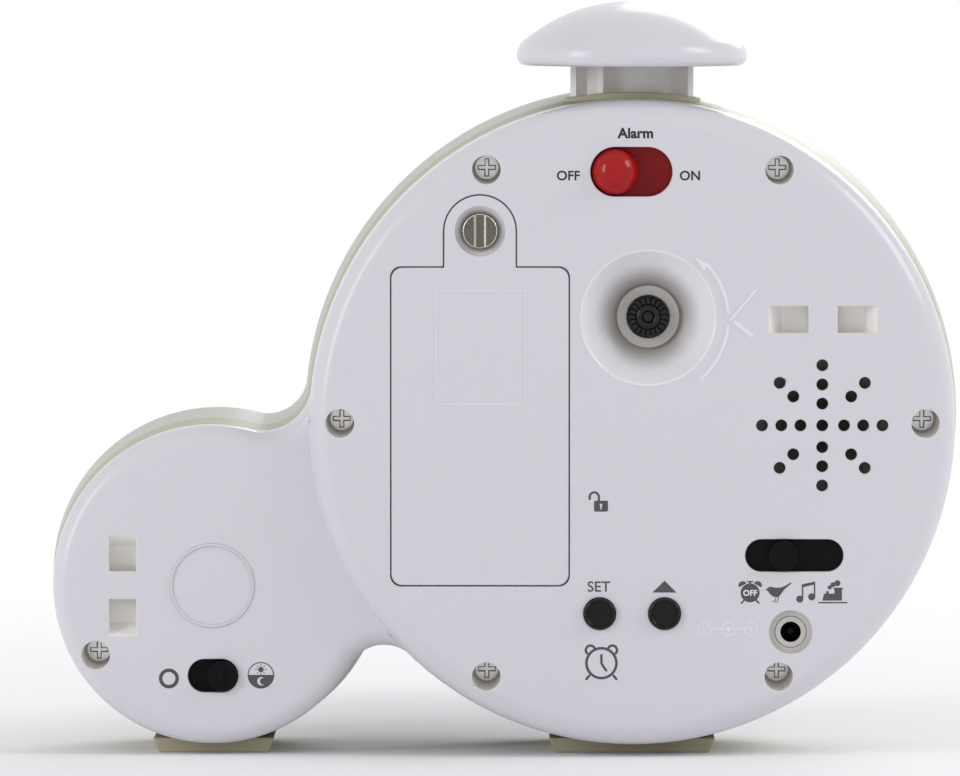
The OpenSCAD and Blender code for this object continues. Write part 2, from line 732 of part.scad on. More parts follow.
// ---- battery compartment ----
module door_hook() {
  translate([0, hook_leg / 2]) block([hook_w, hook_leg], door_th - touch, ledge_t + hook_gap + hook_th);
  translate([0, (hook_leg - hook_foot) / 2])
    block([hook_w, hook_leg + hook_foot], ledge_t + hook_gap, ledge_t + hook_gap + hook_th);
}
module battery_door() color("#ebeaee") stand_up() difference() {
  union() {
    door_plate(0, 0, door_th);
    for (x = [-hook_x, hook_x]) at_big(door_at + [x, -door_h / 2]) door_hook();
  }
  at_big(door_at + tab_hole_at) disc(coin_recess_d / 2, -cut, coin_recess_t);
  at_big(door_at + tab_hole_at) disc(coin_shank_r + shaft_gap, 0, door_th + cut);
}
module battery_door_screw() color("#b7b4ac") stand_up() at_big(door_at + tab_hole_at) difference() {
  union() {
    disc(coin_head_d / 2, coin_head_t, coin_recess_t);
    disc(coin_shank_r, coin_head_t + sink, coin_tip_t);
  }
  block([coin_slot_w, coin_head_d + cut], -cut, coin_head_t + coin_slot_depth);
}
module door_screw_insert() color("goldenrod") stand_up() at_big(door_at + tab_hole_at)
  tube(insert_r, coin_shank_r + insert_gap, ledge_t + 1.5 * fit_gap, coin_tip_t + 1.5 * fit_gap);

module at_cell(side) at_big(door_at + [side * cell_x, 0]) lift(cell_t)
  rotate([side * 90, 0, 0]) children();
module cell() rotate_extrude() polygon([[0, 0], [cell_d / 2 - cell_bevel, 0], [cell_d / 2, cell_bevel],
  [cell_d / 2, cell_len - cell_cap_h - cell_bevel], [cell_d / 2 - cell_bevel, cell_len - cell_cap_h],
  [cell_cap_r, cell_len - cell_cap_h], [cell_cap_r, cell_len], [0, cell_len]]);
module batteries() color("#4c8a3f") stand_up() for (side = [-1, 1])
  at_cell(side) lift(cell_end - cell_len) cell();
module battery_springs() color("silver") stand_up() for (side = [-1, 1])
  at_cell(side) lift(spring_bite / 4 - cell_end)
    coil(battery_spring_r, battery_wire_r, spring_len + 2 * spring_bite, battery_spring_turns, 6, 12);
module battery_contacts() color("silver") stand_up() {
  for (side = [-1, 1]) at_cell(side) {
    block([contact_w, contact_w], cell_end, cell_end + contact_th);
    block([contact_w, contact_w], -cell_end - contact_th, -cell_end);
  }
}

// ---- mushroom button, upright round its own axis ----
// The dome and the rounded rim are two arcs that meet where both point the same way
rim_x = cap_d / 2 - cap_round;
join_x = rim_x * dome_r / (dome_r - cap_round);
join_z = dome_at + (cap_base - dome_at) * dome_r / (dome_r - cap_round);
module cap_section() {
  translate([0, cap_rim]) square([cap_d / 2 - cap_low, cap_low + touch]);
  intersection() {
    translate([cap_d / 2 - cap_low, cap_base]) circle(cap_low);
    translate([cap_d / 2 - cap_low, cap_rim]) square(cap_low);
  }
  intersection() {
    translate([rim_x, cap_base]) circle(cap_round);
    polygon([[rim_x, cap_base], [cap_d, cap_base], [cap_d, join_z + (cap_d - join_x)], [join_x, join_z]]);
  }
  intersection() {
    translate([0, dome_at]) circle(dome_r);
    polygon([[0, cap_base], [rim_x, cap_base], [join_x, join_z], [join_x, cap_base + cap_dome],
      [0, cap_base + cap_dome + cut]]);
  }
}
// Hollow under the cap, round the stem
module cap_hollow() intersection() {
  tube(cap_d / 2 - cap_wall, stem_r, cap_rim - cut, cap_base + cap_dome);
  lift(dome_at) sphere(dome_r - cap_wall);
}
// Two bays in the rear of the stem leave three upright ribs
module stem_bay(bay) difference() {
  translate([bay[0], bay_side_y, web_z + web_th]) cube([bay[1] - bay[0], stem_r, cap_rim - web_z - web_th]);
  disc(bay[2], web_z, cap_base);
}
module mushroom_button() color("#eeedf0") upright() difference() {
  union() {
    rotate_extrude() cap_section();
    disc(stem_r, stem_bottom, cap_base);
    disc(stem_r + stem_lip, stem_bottom, stem_bottom + stem_lip_h);
    disc(plunger_r, pin_bottom, web_z + touch);
  }
  difference() {
    disc(stem_bore_r, stem_bottom - cut, web_z);
    disc(plunger_r, stem_bottom - 2 * cut, web_z + cut);
  }
  disc(core_bore_r, web_z + web_th, cap_base + cap_dome - 2 * cap_wall);
  cap_hollow();
  stem_bay(bay_wide);
  stem_bay(bay_narrow);
}
module guide_tube() intersection() {
  tube(guide_r + guide_wall, guide_r, flange_z, big_at[1] + big_front_r);
  lift(big_at[1]) rotate([90, 0, 0]) disc(guide_surface_r, -stem_d, stem_d);
}
module button_guide() color("#c9c6b4") upright() {
  guide_tube();
  difference() {
    block(guide_plate, flange_z, flange_z + guide_plate_th);
    disc(guide_r, flange_z - cut, flange_z + guide_plate_th + cut);
  }
  for (side = [-1, 1]) translate([side * (guide_plate[0] - guide_plate_th) / 2, 0])
    block([guide_plate_th, guide_leg_w], snooze_floor, flange_z + touch);
  block([guide_plate[0], guide_leg_w], snooze_floor - guide_plate_th, snooze_floor + touch);
}
spring_seat = touch + 0.02;
module button_return_spring() color("silver") upright() lift(snooze_floor + spring_seat)
  coil(return_spring_r, return_wire_r, web_z - snooze_floor - 2 * spring_seat, return_spring_turns, 8, 16);
module snooze_switch() color("#333336") upright() difference() {
  block([snooze_w, snooze_w], snooze_floor + touch, pin_bottom + push_out + touch);
  disc(plunger_r + 1.5 * fit_gap, pin_bottom - cap_travel - 1.5 * fit_gap, pin_bottom + 2 * push_out);
}

// ---- slide switches and push buttons ----
module slide_plate(size) block(size, plate_t, plate_t + plate_th);
module slide_peg(w) block([w, peg_h], plate_t + plate_th - touch, peg_end_t);
module switch_body(travel, w, h) difference() {
  block([travel + w + 2 * switch_end_wall, h], plate_t + plate_th + switch_gap, board_t);
  block([travel + w + 4 * slide_gap, peg_h + 2 * slide_gap], plate_t, switch_floor_t);
}
module alarm_slider() color("#b3202a") stand_up() at_big(alarm_at + [alarm_rest, 0]) {
  intersection() {
    lift(plate_t) sphere(alarm_ball_r);
    disc(alarm_knob_d, -alarm_knob_d, plate_t + touch);
  }
  slide_plate(alarm_plate);
  slide_peg(peg_w);
}
module alarm_switch() color("silver") stand_up() at_big(alarm_at)
  switch_body(alarm_travel, peg_w, alarm_switch_h);
module alarm_board() color("darkgreen") stand_up() difference() {
  at_big([0, alarm_posts[0][1]]) block(alarm_board_size, board_t, board_t + board_th);
  at_big() for (p = alarm_posts) translate(p) disc(board_hole_r, 0, board_t + board_th + cut);
}
module small_knob(face_t) lift(face_t) {
  disc(small_knob_d / 2, -knob_out, plate_t + touch);
  block([ridge_w, small_knob_d - 2 * ridge_short], -ridge_out, -knob_out + touch);
}
module sound_slider() color("#1c1c1f") stand_up() at_big(sound_at + [sound_rest, 0]) {
  small_knob(0);
  slide_plate(sound_plate);
  slide_peg(peg_w);
}
module sound_switch() color("silver") stand_up() at_big(sound_at)
  switch_body(sound_ends, peg_w, alarm_switch_h);
module light_slider() color("#1c1c1f") stand_up() at_small(light_at + [light_rest, 0]) {
  small_knob(small_step);
  lift(small_step) slide_plate(light_plate);
  lift(small_step) slide_peg(light_peg_w);
}
module light_switch() color("silver") stand_up() at_small(light_at) lift(small_step)
  switch_body(light_travel, light_peg_w, light_switch_h);
module light_board() color("darkgreen") stand_up() lift(small_step) difference() {
  at_small([0, light_board_y]) block(light_board_size, board_t, board_t + board_th);
  at_small() for (p = light_posts) translate(p) disc(board_hole_r, 0, board_t + board_th + cut);
}
module push_button() {
  disc(push_d / 2, -push_out, wall + slide_gap + touch);
  disc(push_d / 2 + push_flange, wall + slide_gap, wall + slide_gap + push_flange_th);
  disc(push_stem_r, wall, tact_rest_t);
}
module set_button() color("#1c1c1f") stand_up() at_big(set_at) push_button();
module up_button() color("#1c1c1f") stand_up() at_big(up_at) push_button();
module tact_switches() color("#55565a") stand_up() for (p = [set_at, up_at]) at_big(p) difference() {
  block([tact_w, tact_w], board_t - tact_h, board_t);
  disc(push_stem_r + slide_gap, 0, tact_rest_t + push_travel + tact_spare);
}

// ---- boards ----
module main_board() color("darkgreen") stand_up() difference() {
  at_big() lift(board_t) linear_extrude(board_th) polygon(main_board_outline);
  at_big() for (p = main_posts) translate(p) disc(board_hole_r, 0, board_t + board_th + cut);
  at_big(jack_at) block([jack_w + 2 * fit_gap, jack_w + 2 * fit_gap], 0, board_t + board_th + cut);
}
module dc_jack() color("#202022") stand_up() at_big(jack_at) {
  difference() {
    union() {
      disc(jack_collar_r, jack_recess_t - touch, wall + cut);
      block([jack_w, jack_w], wall + 1.5 * fit_gap, jack_end_t);
    }
    disc(jack_bore_r, 0, jack_bore_t);
  }
  disc(jack_pin_r, wall + 3 * fit_gap, jack_bore_t + fit_gap);
}
module board_screw(seat_t) lift(seat_t) difference() {
  union() {
    disc(board_head_r, 0, board_head_h);
    disc(board_screw_r, -board_screw_len, touch);
  }
  for (a = [0, 90]) rotate(a)
    block([1.3 * board_head_r, 0.75 * cross_w], board_head_h - sink, board_head_h + cut);
}
module board_screws() color("silver") stand_up() {
  at_big() for (p = concat(main_posts, alarm_posts)) translate(p) board_screw(board_t + board_th);
  at_small() for (p = light_posts) translate(p) board_screw(small_step + board_t + board_th);
  at_light_bosses() lift(led_board_t) mirror([0, 0, 1]) board_screw(0);
}

// ---- speaker, drawn from the cover's inner face ----
frame_th = 0.8;
frame_flange = 1.6;
magnet_t = 6.4;
magnet_r = 7;
magnet_h = 3.2;
cone_r = 13.2;
cone_th = 0.6;
cone_rim_th = 0.4;
cone_deep = 2.9;
dome_cap_r = 3;
module speaker_frame() color("#3a3b40") stand_up() at_big(speaker_at) lift(wall) rotate_extrude()
  polygon([[speaker_r - frame_flange, 0], [speaker_r, 0], [speaker_r, frame_flange],
    [speaker_r - frame_flange + 0.2, frame_flange], [magnet_r + 1, magnet_t], [0, magnet_t],
    [0, magnet_t - frame_th], [magnet_r + 0.4, magnet_t - frame_th], [speaker_r - frame_flange, frame_th]]);
module speaker_cone() color("#1d1d1f") stand_up() at_big(speaker_at) lift(wall + sink) rotate_extrude()
  polygon([[0, cone_deep - 1], [dome_cap_r, cone_deep], [cone_r - cone_th, 0], [cone_r, 0],
    [cone_r, cone_rim_th], [cone_r - cone_rim_th, cone_rim_th], [dome_cap_r, cone_deep + cone_th],
    [0, cone_deep - cone_rim_th]]);
module speaker_magnet() color("silver") stand_up() at_big(speaker_at)
  disc(magnet_r, wall + magnet_t, wall + magnet_t + magnet_h);

// ---- movement ----
knob_ridge_r = 0.4;
knob_core_r = time_knob_d / 2 - knob_ridge_r - 0.05;
knob_hole_r = 0.9;
knob_back_t = knob_pocket_t - 1.5 * fit_gap;
module time_setting_knob() color("#1c1c1f") stand_up() at_big(time_knob_at) difference() {
  union() {
    disc(knob_core_r, knob_face_t, knob_back_t);
    for (i = [1:time_knob_ridges]) rotate(i * 360 / time_knob_ridges)
      translate([knob_core_r, 0]) disc(knob_ridge_r, knob_face_t + 1.5 * fit_gap, knob_back_t);
    disc(knob_arbor_r, knob_back_t - touch, gear_t + gear_h + case_wall);
    gear(set_teeth, gear_m, gear_t, gear_t + gear_h, 0, knob_angle + 180 + 180 / set_teeth);
  }
  disc(knob_hole_r, knob_face_t - cut, knob_face_t + cut + sink);
}
module movement_box(inset, t0, t1) {
  size = movement_hi - movement_lo;
  translate([movement_lo[0] + inset, movement_lo[1] + inset, t0])
    cube([size[0] - 2 * inset, size[1] - 2 * inset, t1 - t0]);
}
pin_start_t = movement_t + 0.6;   // where the bearing holes in the case start
module movement_case() color("#e8e4d8") stand_up() at_big() difference() {
  union() {
    difference() {
      movement_box(0, movement_t, plate_rear_t);
      movement_box(case_wall, movement_t + case_wall, plate_rear_t + cut);
    }
    for (p = [step_at, rotor_at]) translate(p) disc(bearing_r, movement_t + sink, movement_t + 2);
    disc(bearing_r, movement_t + sink, second_t - case_wall);
    for (p = stator_posts) translate(p) disc(stator_post_r, movement_t + sink, stator_t);
  }
  translate(time_knob_at) disc(knob_arbor_r + shaft_gap, movement_t - cut, movement_t + 2 * case_wall);
  for (p = [step_at, rotor_at]) translate(p) disc(pin_r + shaft_gap, pin_start_t, stator_t + cut);
  disc(second_arbor_r + shaft_gap, pin_start_t, second_t);
}
pin_stop_t = second_t + 5;        // where the wheels' arbors end in the plate
module movement_plate() color("#e8e4d8") stand_up() at_big() difference() {
  union() {
    movement_box(0, plate_rear_t, dial_t);
    disc(bush_r, dial_t - sink, dial_face_t + 1.9);
    translate(motion_at) disc(pin_r, gear_t - second_gear_h, plate_rear_t + sink);
    for (p = [step_at, rotor_at]) translate(p) disc(bearing_r, second_t + 3, plate_rear_t + sink);
    translate(time_knob_at) disc(setting_bearing_r, gear_t + 2, plate_rear_t + sink);
  }
  disc(bush_bore_r, plate_rear_t - cut, dial_face_t + 3);
  for (p = [step_at, rotor_at]) translate(p) disc(pin_r + shaft_gap, second_t + 2, pin_stop_t + 2 * pin_end);
  translate(time_knob_at) disc(knob_arbor_r + shaft_gap, gear_t, gear_t + gear_h + case_wall + pin_end);
}
module movement_nut() color("goldenrod") stand_up() at_big() difference() {
  lift(dial_face_t) cylinder(r = nut_r, h = nut_h, $fn = 6);
  disc(bush_r + shaft_gap / 2, dial_face_t - cut, dial_face_t + nut_h + cut);
}
module movement_stator() color("#9a9ca0") stand_up() at_big() difference() {
  lift(stator_t) linear_extrude(stator_th) polygon(stator_outline);
  translate(rotor_at) disc(stator_hole_r, stator_t - cut, stator_t + stator_th + cut);
}
module movement_coil() color("#b5652f") stand_up() at_big() translate(coil_at) lift(stator_t + stator_th) {
  block(coil_winding, coil_flange[2] - coil_winding[2] - cut, coil_flange[2] - cut);
  for (side = [-1, 1]) translate([0, side * (coil_winding[1] + coil_flange[1]) / 2])
    block(coil_flange, 0, coil_flange[2]);
}
module motor_rotor() color("#4a4a50") stand_up() at_big(rotor_at) {
  disc(rotor_r, stator_t - touch, stator_t - touch + rotor_h);
  disc(pin_r, pin_start_t + pin_end, pin_stop_t);
  gear(rotor_teeth, second_m, stator_t - touch + rotor_h, second_t + 2 * second_gear_h, 0,
    step_angle + 180 + 180 / rotor_teeth);
}
module step_wheel() color("#f0ead6") stand_up() at_big(step_at) {
  gear(step_teeth, second_m, second_t + 0.6, second_t + 0.6 + second_gear_h, 0, step_angle);
  gear(step_pinion_teeth, second_m, second_t - case_wall, second_t + 0.6 + touch, 0, step_angle + 180);
  disc(pin_r, pin_start_t + pin_end, pin_stop_t);
}
module second_wheel() color("#f0ead6") stand_up() at_big() {
  gear(second_teeth, second_m, second_t - 1, second_t - 1 + second_gear_h, 0, step_angle + 180 / second_teeth);
  disc(second_arbor_r, pin_start_t + pin_end, arbor_end_t);
}
module cannon_pinion() color("#f0ead6") stand_up() at_big() difference() {
  union() {
    gear(cannon_teeth, gear_m, gear_t, gear_t + gear_h, cannon_bore_r, knob_angle + 180 / cannon_teeth);
    disc(cannon_r, gear_t + gear_h - touch, minute_hand_t + hand_th + touch);
  }
  disc(cannon_bore_r, gear_t - cut, minute_hand_t + 2 * cut);
}
module motion_wheel() color("#f0ead6") stand_up() at_big(motion_at) {
  gear(motion_teeth, gear_m, motion_t, motion_t + motion_h, pin_r + shaft_gap, knob_angle);
  gear(motion_pinion_teeth, gear_m, motion_t + motion_h, motion_t + motion_h + motion_pinion_h,
    pin_r + shaft_gap, knob_angle + 180);
}
module hour_wheel() color("#f0ead6") stand_up() at_big() difference() {
  union() {
    gear(hour_teeth, gear_m, hour_t, hour_t + hour_h, hour_bore_r, knob_angle + 180 / hour_teeth);
    disc(hour_tube_r, hour_t + hour_h - 2 * touch, hour_hand_t + hand_th);
  }
  disc(hour_bore_r, hour_t - cut, hour_hand_t + 2 * cut);
}

// ---- dial, hands and lens ----
module hand(len, tail, w, hub_r, t0, t1, bore_r, angle) rotate(90 - angle) difference() {
  union() {
    lift(t0) linear_extrude(t1 - t0)
      polygon([[-tail, -w / 2], [len * 0.72, -w * 0.62], [len, 0], [len * 0.72, w * 0.62], [-tail, w / 2]]);
    disc(hub_r, t0, t1);
  }
  disc(bore_r, t0 - cut, t1 + cut);
}
// Hands are seen from the front, where x runs the other way
module from_front() mirror([1, 0, 0]) children();
module hour_hand() color("#2b3a55") stand_up() at_big() from_front()
  hand(hour_len, 5, 5, 4, hour_hand_t, hour_hand_t + hand_th, hour_tube_r, hour_angle);
module minute_hand() color("#2b3a55") stand_up() at_big() from_front()
  hand(minute_len, 6, 4, 3.4, minute_hand_t, minute_hand_t + hand_th, cannon_r, minute_angle);
module second_hand() color("#b3202a") stand_up() at_big() from_front()
  hand(second_len, 14, 1.2, 2.4, second_hand_t, arbor_end_t, second_arbor_r, second_angle);
module dial() color("#f7f6f1") stand_up() at_big() tube(dial_r, bush_r + fit_gap, dial_t, dial_face_t);
module chapter_ring() color("#f7f6f1") stand_up() at_big()
  tube(dial_r, dial_open_d / 2 - 2 * fit_gap, dial_face_t, lens_t);
module clock_lens() color("#d8e6ee", 0.4) stand_up() at_big() disc(dial_r, lens_t, lens_t + lens_th);

// ---- night light window ----
module light_diffuser() color("#f3ead0", 0.8) stand_up() at_small() difference() {
  union() {
    disc(diffuser_r, diffuser_t, diffuser_t + diffuser_th);
    disc(window_r - fit_gap, diffuser_t + diffuser_th - touch, body_depth - 3 * fit_gap);
  }
  block([display_w, display_h], diffuser_t - cut, body_depth + cut);
}
module light_reflector() color("white") stand_up() at_small() rotate_extrude()
  polygon([[reflector_r, led_face_t], [reflector_r + reflector_wall, led_face_t], [diffuser_r, diffuser_t - 1],
    [diffuser_r, diffuser_t], [diffuser_r - reflector_wall, diffuser_t]]);
module led_board() color("darkgreen") stand_up() at_small() difference() {
  union() {
    disc(led_board_r, led_board_t, led_face_t);
    for (a = light_post_angles) rotate(a) translate([light_post_r / 2, 0])
      block([light_post_r, 2 * ear_r], led_board_t, led_face_t);
    for (a = light_post_angles) rotate(a) translate([light_post_r, 0])
      disc(ear_r, led_board_t, led_face_t);
  }
  for (a = light_post_angles) rotate(a) translate([light_post_r, 0])
    disc(board_hole_r, led_board_t - cut, led_face_t + cut);
}
module at_leds() at_small() for (a = [45:90:315]) rotate(a) translate([led_ring_r, 0]) children();
module leds() color("#fff3b0") stand_up() at_leds() {
  disc(led_r, led_face_t, led_face_t + led_h);
  lift(led_face_t + led_h) sphere(led_r);
}
module display_holder() color("#e9e6da") stand_up() difference() {
  at_small() block([holder_w, holder_h], led_face_t, diffuser_t);
  at_small() block([holder_w - 2 * holder_wall, holder_h - 2 * holder_wall], led_board_t, diffuser_t + cut);
  at_leds() disc(led_r + sink, led_board_t, led_face_t + 2 * led_h);
}
module display_module() color("#7f8d7a") stand_up() at_small()
  block([holder_w, holder_h], diffuser_t, body_depth - 1);

rear_cover();
band_housing();
front_housing();
rubber_feet();
case_screws();
battery_door();
battery_door_screw();
door_screw_insert();
batteries();
battery_springs();
battery_contacts();
mushroom_button();
button_guide();
button_return_spring();
snooze_switch();
alarm_slider();
alarm_switch();
alarm_board();
sound_slider();
sound_switch();
set_button();
up_button();
tact_switches();
main_board();
dc_jack();
board_screws();
light_slider();
light_switch();
light_board();
speaker_frame();
speaker_cone();
speaker_magnet();
time_setting_knob();
movement_case();
movement_plate();
movement_nut();
movement_coil();
movement_stator();
motor_rotor();
step_wheel();
second_wheel();
cannon_pinion();
motion_wheel();
hour_wheel();
hour_hand();
minute_hand();
second_hand();
dial();
chapter_ring();
clock_lens();
light_diffuser();
light_reflector();
led_board();
leds();
display_module();
display_holder();
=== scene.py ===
import math

import bmesh
import bpy
from mathutils import Matrix, Vector


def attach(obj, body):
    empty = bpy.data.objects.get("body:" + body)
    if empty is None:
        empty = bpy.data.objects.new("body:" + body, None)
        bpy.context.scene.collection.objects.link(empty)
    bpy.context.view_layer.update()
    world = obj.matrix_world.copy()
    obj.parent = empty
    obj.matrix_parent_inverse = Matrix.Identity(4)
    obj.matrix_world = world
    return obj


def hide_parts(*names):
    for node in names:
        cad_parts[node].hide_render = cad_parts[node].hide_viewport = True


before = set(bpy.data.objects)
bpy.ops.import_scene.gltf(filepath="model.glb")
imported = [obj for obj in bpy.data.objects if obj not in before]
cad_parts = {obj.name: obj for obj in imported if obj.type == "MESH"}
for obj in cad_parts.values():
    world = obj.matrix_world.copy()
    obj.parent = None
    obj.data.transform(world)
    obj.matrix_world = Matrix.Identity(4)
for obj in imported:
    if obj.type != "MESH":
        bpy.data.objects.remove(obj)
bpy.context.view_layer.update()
scene = bpy.context.scene


# ---- Studio -------------------------------------------------------------------------
# A long lens looks at the rear of the clock from a little above its top. The clock stands on a
# white table that runs back into a white sweep. Two soft boxes stand nearly at its sides and a
# third behind it, and a large pale ceiling gives the rest of the light.
def linear(hex_colour):
    """An sRGB hex colour as the linear colour that a shader takes"""
    parts = [int(hex_colour[i : i + 2], 16) / 255 for i in (1, 3, 5)]
    return [p / 12.92 if p <= 0.04045 else ((p + 0.055) / 1.055) ** 2.4 for p in parts] + [1]


def add_node(tree, kind, settings=None, values=None, links=None):
    """Adds a shader node with its settings, its unlinked values and its links"""
    made = tree.nodes.new("ShaderNode" + kind)
    for name, value in (settings or {}).items():
        setattr(made, name, value)
    for name, value in (values or {}).items():
        made.inputs[name].default_value = value
    for name, source in (links or {}).items():
        tree.links.new(source, made.inputs[name])
    return made


rear_face_y = 0.02185
camera_distance = 1.82
picture_width = 0.192
camera = bpy.data.objects.new("studio_camera", bpy.data.cameras.new("studio_camera"))
scene.collection.objects.link(camera)
scene.camera = camera
camera.location = (-0.00705, rear_face_y + camera_distance, 0.168)
aim = Vector((0.00475, rear_face_y, 0.07435))
camera.rotation_euler = (aim - camera.location).to_track_quat("-Z", "Y").to_euler()
camera.data.sensor_width = 36
camera.data.lens = 36 * camera_distance / picture_width
camera.data.clip_end = 40

scene.view_settings.view_transform = "Standard"


def seen_directly(tree):
    """A value of 1 for rays from the camera, from gloss and through glass, and 0 for the rest"""
    path = add_node(tree, "LightPath")
    glossy = add_node(tree, "Math", {"operation": "MAXIMUM"},
        links={0: path.outputs["Is Camera Ray"], 1: path.outputs["Is Glossy Ray"]})
    return add_node(tree, "Math", {"operation": "MAXIMUM"},
        links={0: glossy.outputs[0], 1: path.outputs["Is Transmission Ray"]}).outputs[0]


world = bpy.data.worlds.new("white_sweep")
scene.world = world
world.use_nodes = True
tree = world.node_tree
tree.nodes.clear()
ambient = add_node(tree, "Background", values={"Color": linear("#f6f7fa"), "Strength": 0.62})
backdrop = add_node(tree, "Background", values={"Color": (1, 1, 1, 1), "Strength": 1.0})
choice = add_node(tree, "MixShader",
    links={0: seen_directly(tree), 1: ambient.outputs[0], 2: backdrop.outputs[0]})
add_node(tree, "OutputWorld", links={"Surface": choice.outputs[0]})

bpy.ops.object.select_all(action="DESELECT")
bpy.ops.mesh.primitive_plane_add(size=12, location=(0, 0, 0))
table_top = bpy.context.object
table_top.name = "studio_table"
sweep = bpy.data.materials.new("matt white sweep")
sweep.use_nodes = True
tree = sweep.node_tree
tree.nodes.clear()
# The table is painted with a grey shadow in a pool under the clock, where the clock's shadow falls. Away from
# its middle, along ellipses, the painted shadow turns pale and then a white that the light doesn't change.
spot = add_node(tree, "NewGeometry").outputs["Position"]
shadow_pool = add_node(tree, "Mapping", values={"Location": (-0.33, 0.84, 0), "Scale": (18, 14, 0)},
    links={"Vector": spot})
away = add_node(tree, "VectorMath", {"operation": "LENGTH"}, links={0: shadow_pool.outputs[0]})
out_of_shadow = add_node(tree, "MapRange", {"interpolation_type": "SMOOTHSTEP"}, {"From Min": 0.3, "From Max": 1.6},
    {"Value": away.outputs["Value"]})
tone = add_node(tree, "Mix", {"data_type": "RGBA"}, {6: linear("#dedee0"), 7: linear("#fafafb")},
    {0: out_of_shadow.outputs[0]})
board = add_node(tree, "BsdfDiffuse", links={"Color": tone.outputs[2]})
white = add_node(tree, "Emission", values={"Color": (1, 1, 1, 1), "Strength": 1.0})
fade = add_node(tree, "MapRange", {"interpolation_type": "SMOOTHSTEP"}, {"From Min": 0.9, "From Max": 6},
    {"Value": away.outputs["Value"]})
far_white = add_node(tree, "Math", {"operation": "MULTIPLY"},
    links={0: fade.outputs[0], 1: seen_directly(tree)})
choice = add_node(tree, "MixShader",
    links={0: far_white.outputs[0], 1: board.outputs[0], 2: white.outputs[0]})
add_node(tree, "OutputMaterial", links={"Surface": choice.outputs[0]})
table_top.data.materials.append(sweep)

for name, place, width, height, power in (
    ("soft_box_right", (-1.5, 0.36, 1.05), 0.6, 0.8, 9.5),
    ("soft_box_left", (1.3, 0.85, 0.55), 0.4, 0.9, 7),
    ("soft_box_front", (-0.5, -1.5, 0.9), 1.0, 0.8, 10),
):
    lamp = bpy.data.objects.new(name, bpy.data.lights.new(name, "AREA"))
    scene.collection.objects.link(lamp)
    lamp.location = place
    lamp.rotation_euler = (Vector((0, 0, 0.07)) - lamp.location).to_track_quat("-Z", "Y").to_euler()
    lamp.data.shape = "RECTANGLE"
    lamp.data.size = width
    lamp.data.size_y = height
    lamp.data.energy = power


# ---- Rear cover ---------------------------------------------------------------------
# The rear cover is injection moulded from glossy white ABS. Its wells, bowl, slots and
# battery compartment are moulded in one shot with it, and every edge leaves the mould with
# a radius of about a quarter of a millimetre, which catches the light.
def moulded(name, colour, roughness, grain=0.35, depth=0.004, cloud=40, spread=0.008, ior=1.53,
        specular=0.5):
    """A moulded plastic: sizes in mm of the mould's grain, of its depth and of faint tone clouds"""
    material = bpy.data.materials.new(name)
    material.use_nodes = True
    tree = material.node_tree
    shader = tree.nodes["Principled BSDF"]
    shader.inputs["IOR"].default_value = ior
    shader.inputs["Specular IOR Level"].default_value = specular
    place = add_node(tree, "TexCoord").outputs["Object"]
    clouds = add_node(tree, "TexNoise", values={"Scale": 1000 / cloud, "Detail": 3}, links={"Vector": place})
    tone = linear(colour)
    darker = [c * (1 - spread) for c in tone[:3]] + [1]
    lighter = [min(1, c * (1 + spread)) for c in tone[:3]] + [1]
    mixed = add_node(tree, "Mix", {"data_type": "RGBA"}, {6: darker, 7: lighter},
        {0: clouds.outputs["Fac"]})
    tree.links.new(mixed.outputs[2], shader.inputs["Base Color"])
    polish = add_node(tree, "MapRange", {"clamp": False},
        {"To Min": roughness * 0.85, "To Max": roughness * 1.15}, {"Value": clouds.outputs["Fac"]})
    tree.links.new(polish.outputs[0], shader.inputs["Roughness"])
    texture = add_node(tree, "TexNoise", values={"Scale": 1000 / grain, "Detail": 2}, links={"Vector": place})
    bump = add_node(tree, "Bump", values={"Strength": 1, "Distance": depth / 1000},
        links={"Height": texture.outputs["Fac"]})
    tree.links.new(bump.outputs[0], shader.inputs["Normal"])
    return material


def dress(nodes, material):
    """Gives CAD nodes their material"""
    for name in nodes:
        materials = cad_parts[name].data.materials
        materials.clear()
        materials.append(material)


def belongs(piece, body, material, stands_for=()):
    """Gives a finished piece its material, body, material slot and the nodes that it stands for"""
    piece.data.materials.clear()
    piece.data.materials.append(material)
    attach(piece, body)
    if stands_for:
        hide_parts(*stands_for)


def take(piece):
    """Makes a piece the only selected and the active one"""
    bpy.ops.object.select_all(action="DESELECT")
    piece.select_set(True)
    bpy.context.view_layer.objects.active = piece


def soften(piece, width, sides=2, edge_material=-1):
    """Rounds a piece's sharp edges by a radius in mm, and keeps its flat faces flat"""
    take(piece)
    rounding = piece.modifiers.new("rounding", "BEVEL")
    rounding.width = width / 1000
    rounding.segments = sides
    rounding.angle_limit = math.radians(35)
    rounding.use_clamp_overlap = False
    rounding.material = edge_material
    bpy.ops.object.modifier_apply(modifier="rounding")
    bpy.ops.object.shade_smooth_by_angle(angle=math.radians(32))
    flats = piece.modifiers.new("flats", "WEIGHTED_NORMAL")
    flats.keep_sharp = True
    bpy.ops.object.modifier_apply(modifier="flats")


def moulding(node, name, edge):
    """A copy of a CAD node as one clean skin, whose sharp edges get the mould's small radius in mm"""
    piece = bpy.data.objects.new(name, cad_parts[node].data.copy())
    scene.collection.objects.link(piece)
    take(piece)
    bpy.ops.object.mode_set(mode="EDIT")
    bpy.ops.mesh.select_all(action="SELECT")
    bpy.ops.mesh.remove_doubles(threshold=0.000001)
    bpy.ops.mesh.dissolve_limited(angle_limit=math.radians(0.4))
    bpy.ops.object.mode_set(mode="OBJECT")
    if edge:
        soften(piece, edge)
    return piece


# The lobes' centres in m, and the small lobe's face against the large lobe's, in mm.
big_lobe = (-0.02585, 0.06715)
small_lobe = (0.05865, 0.03435)
small_face = -4.5


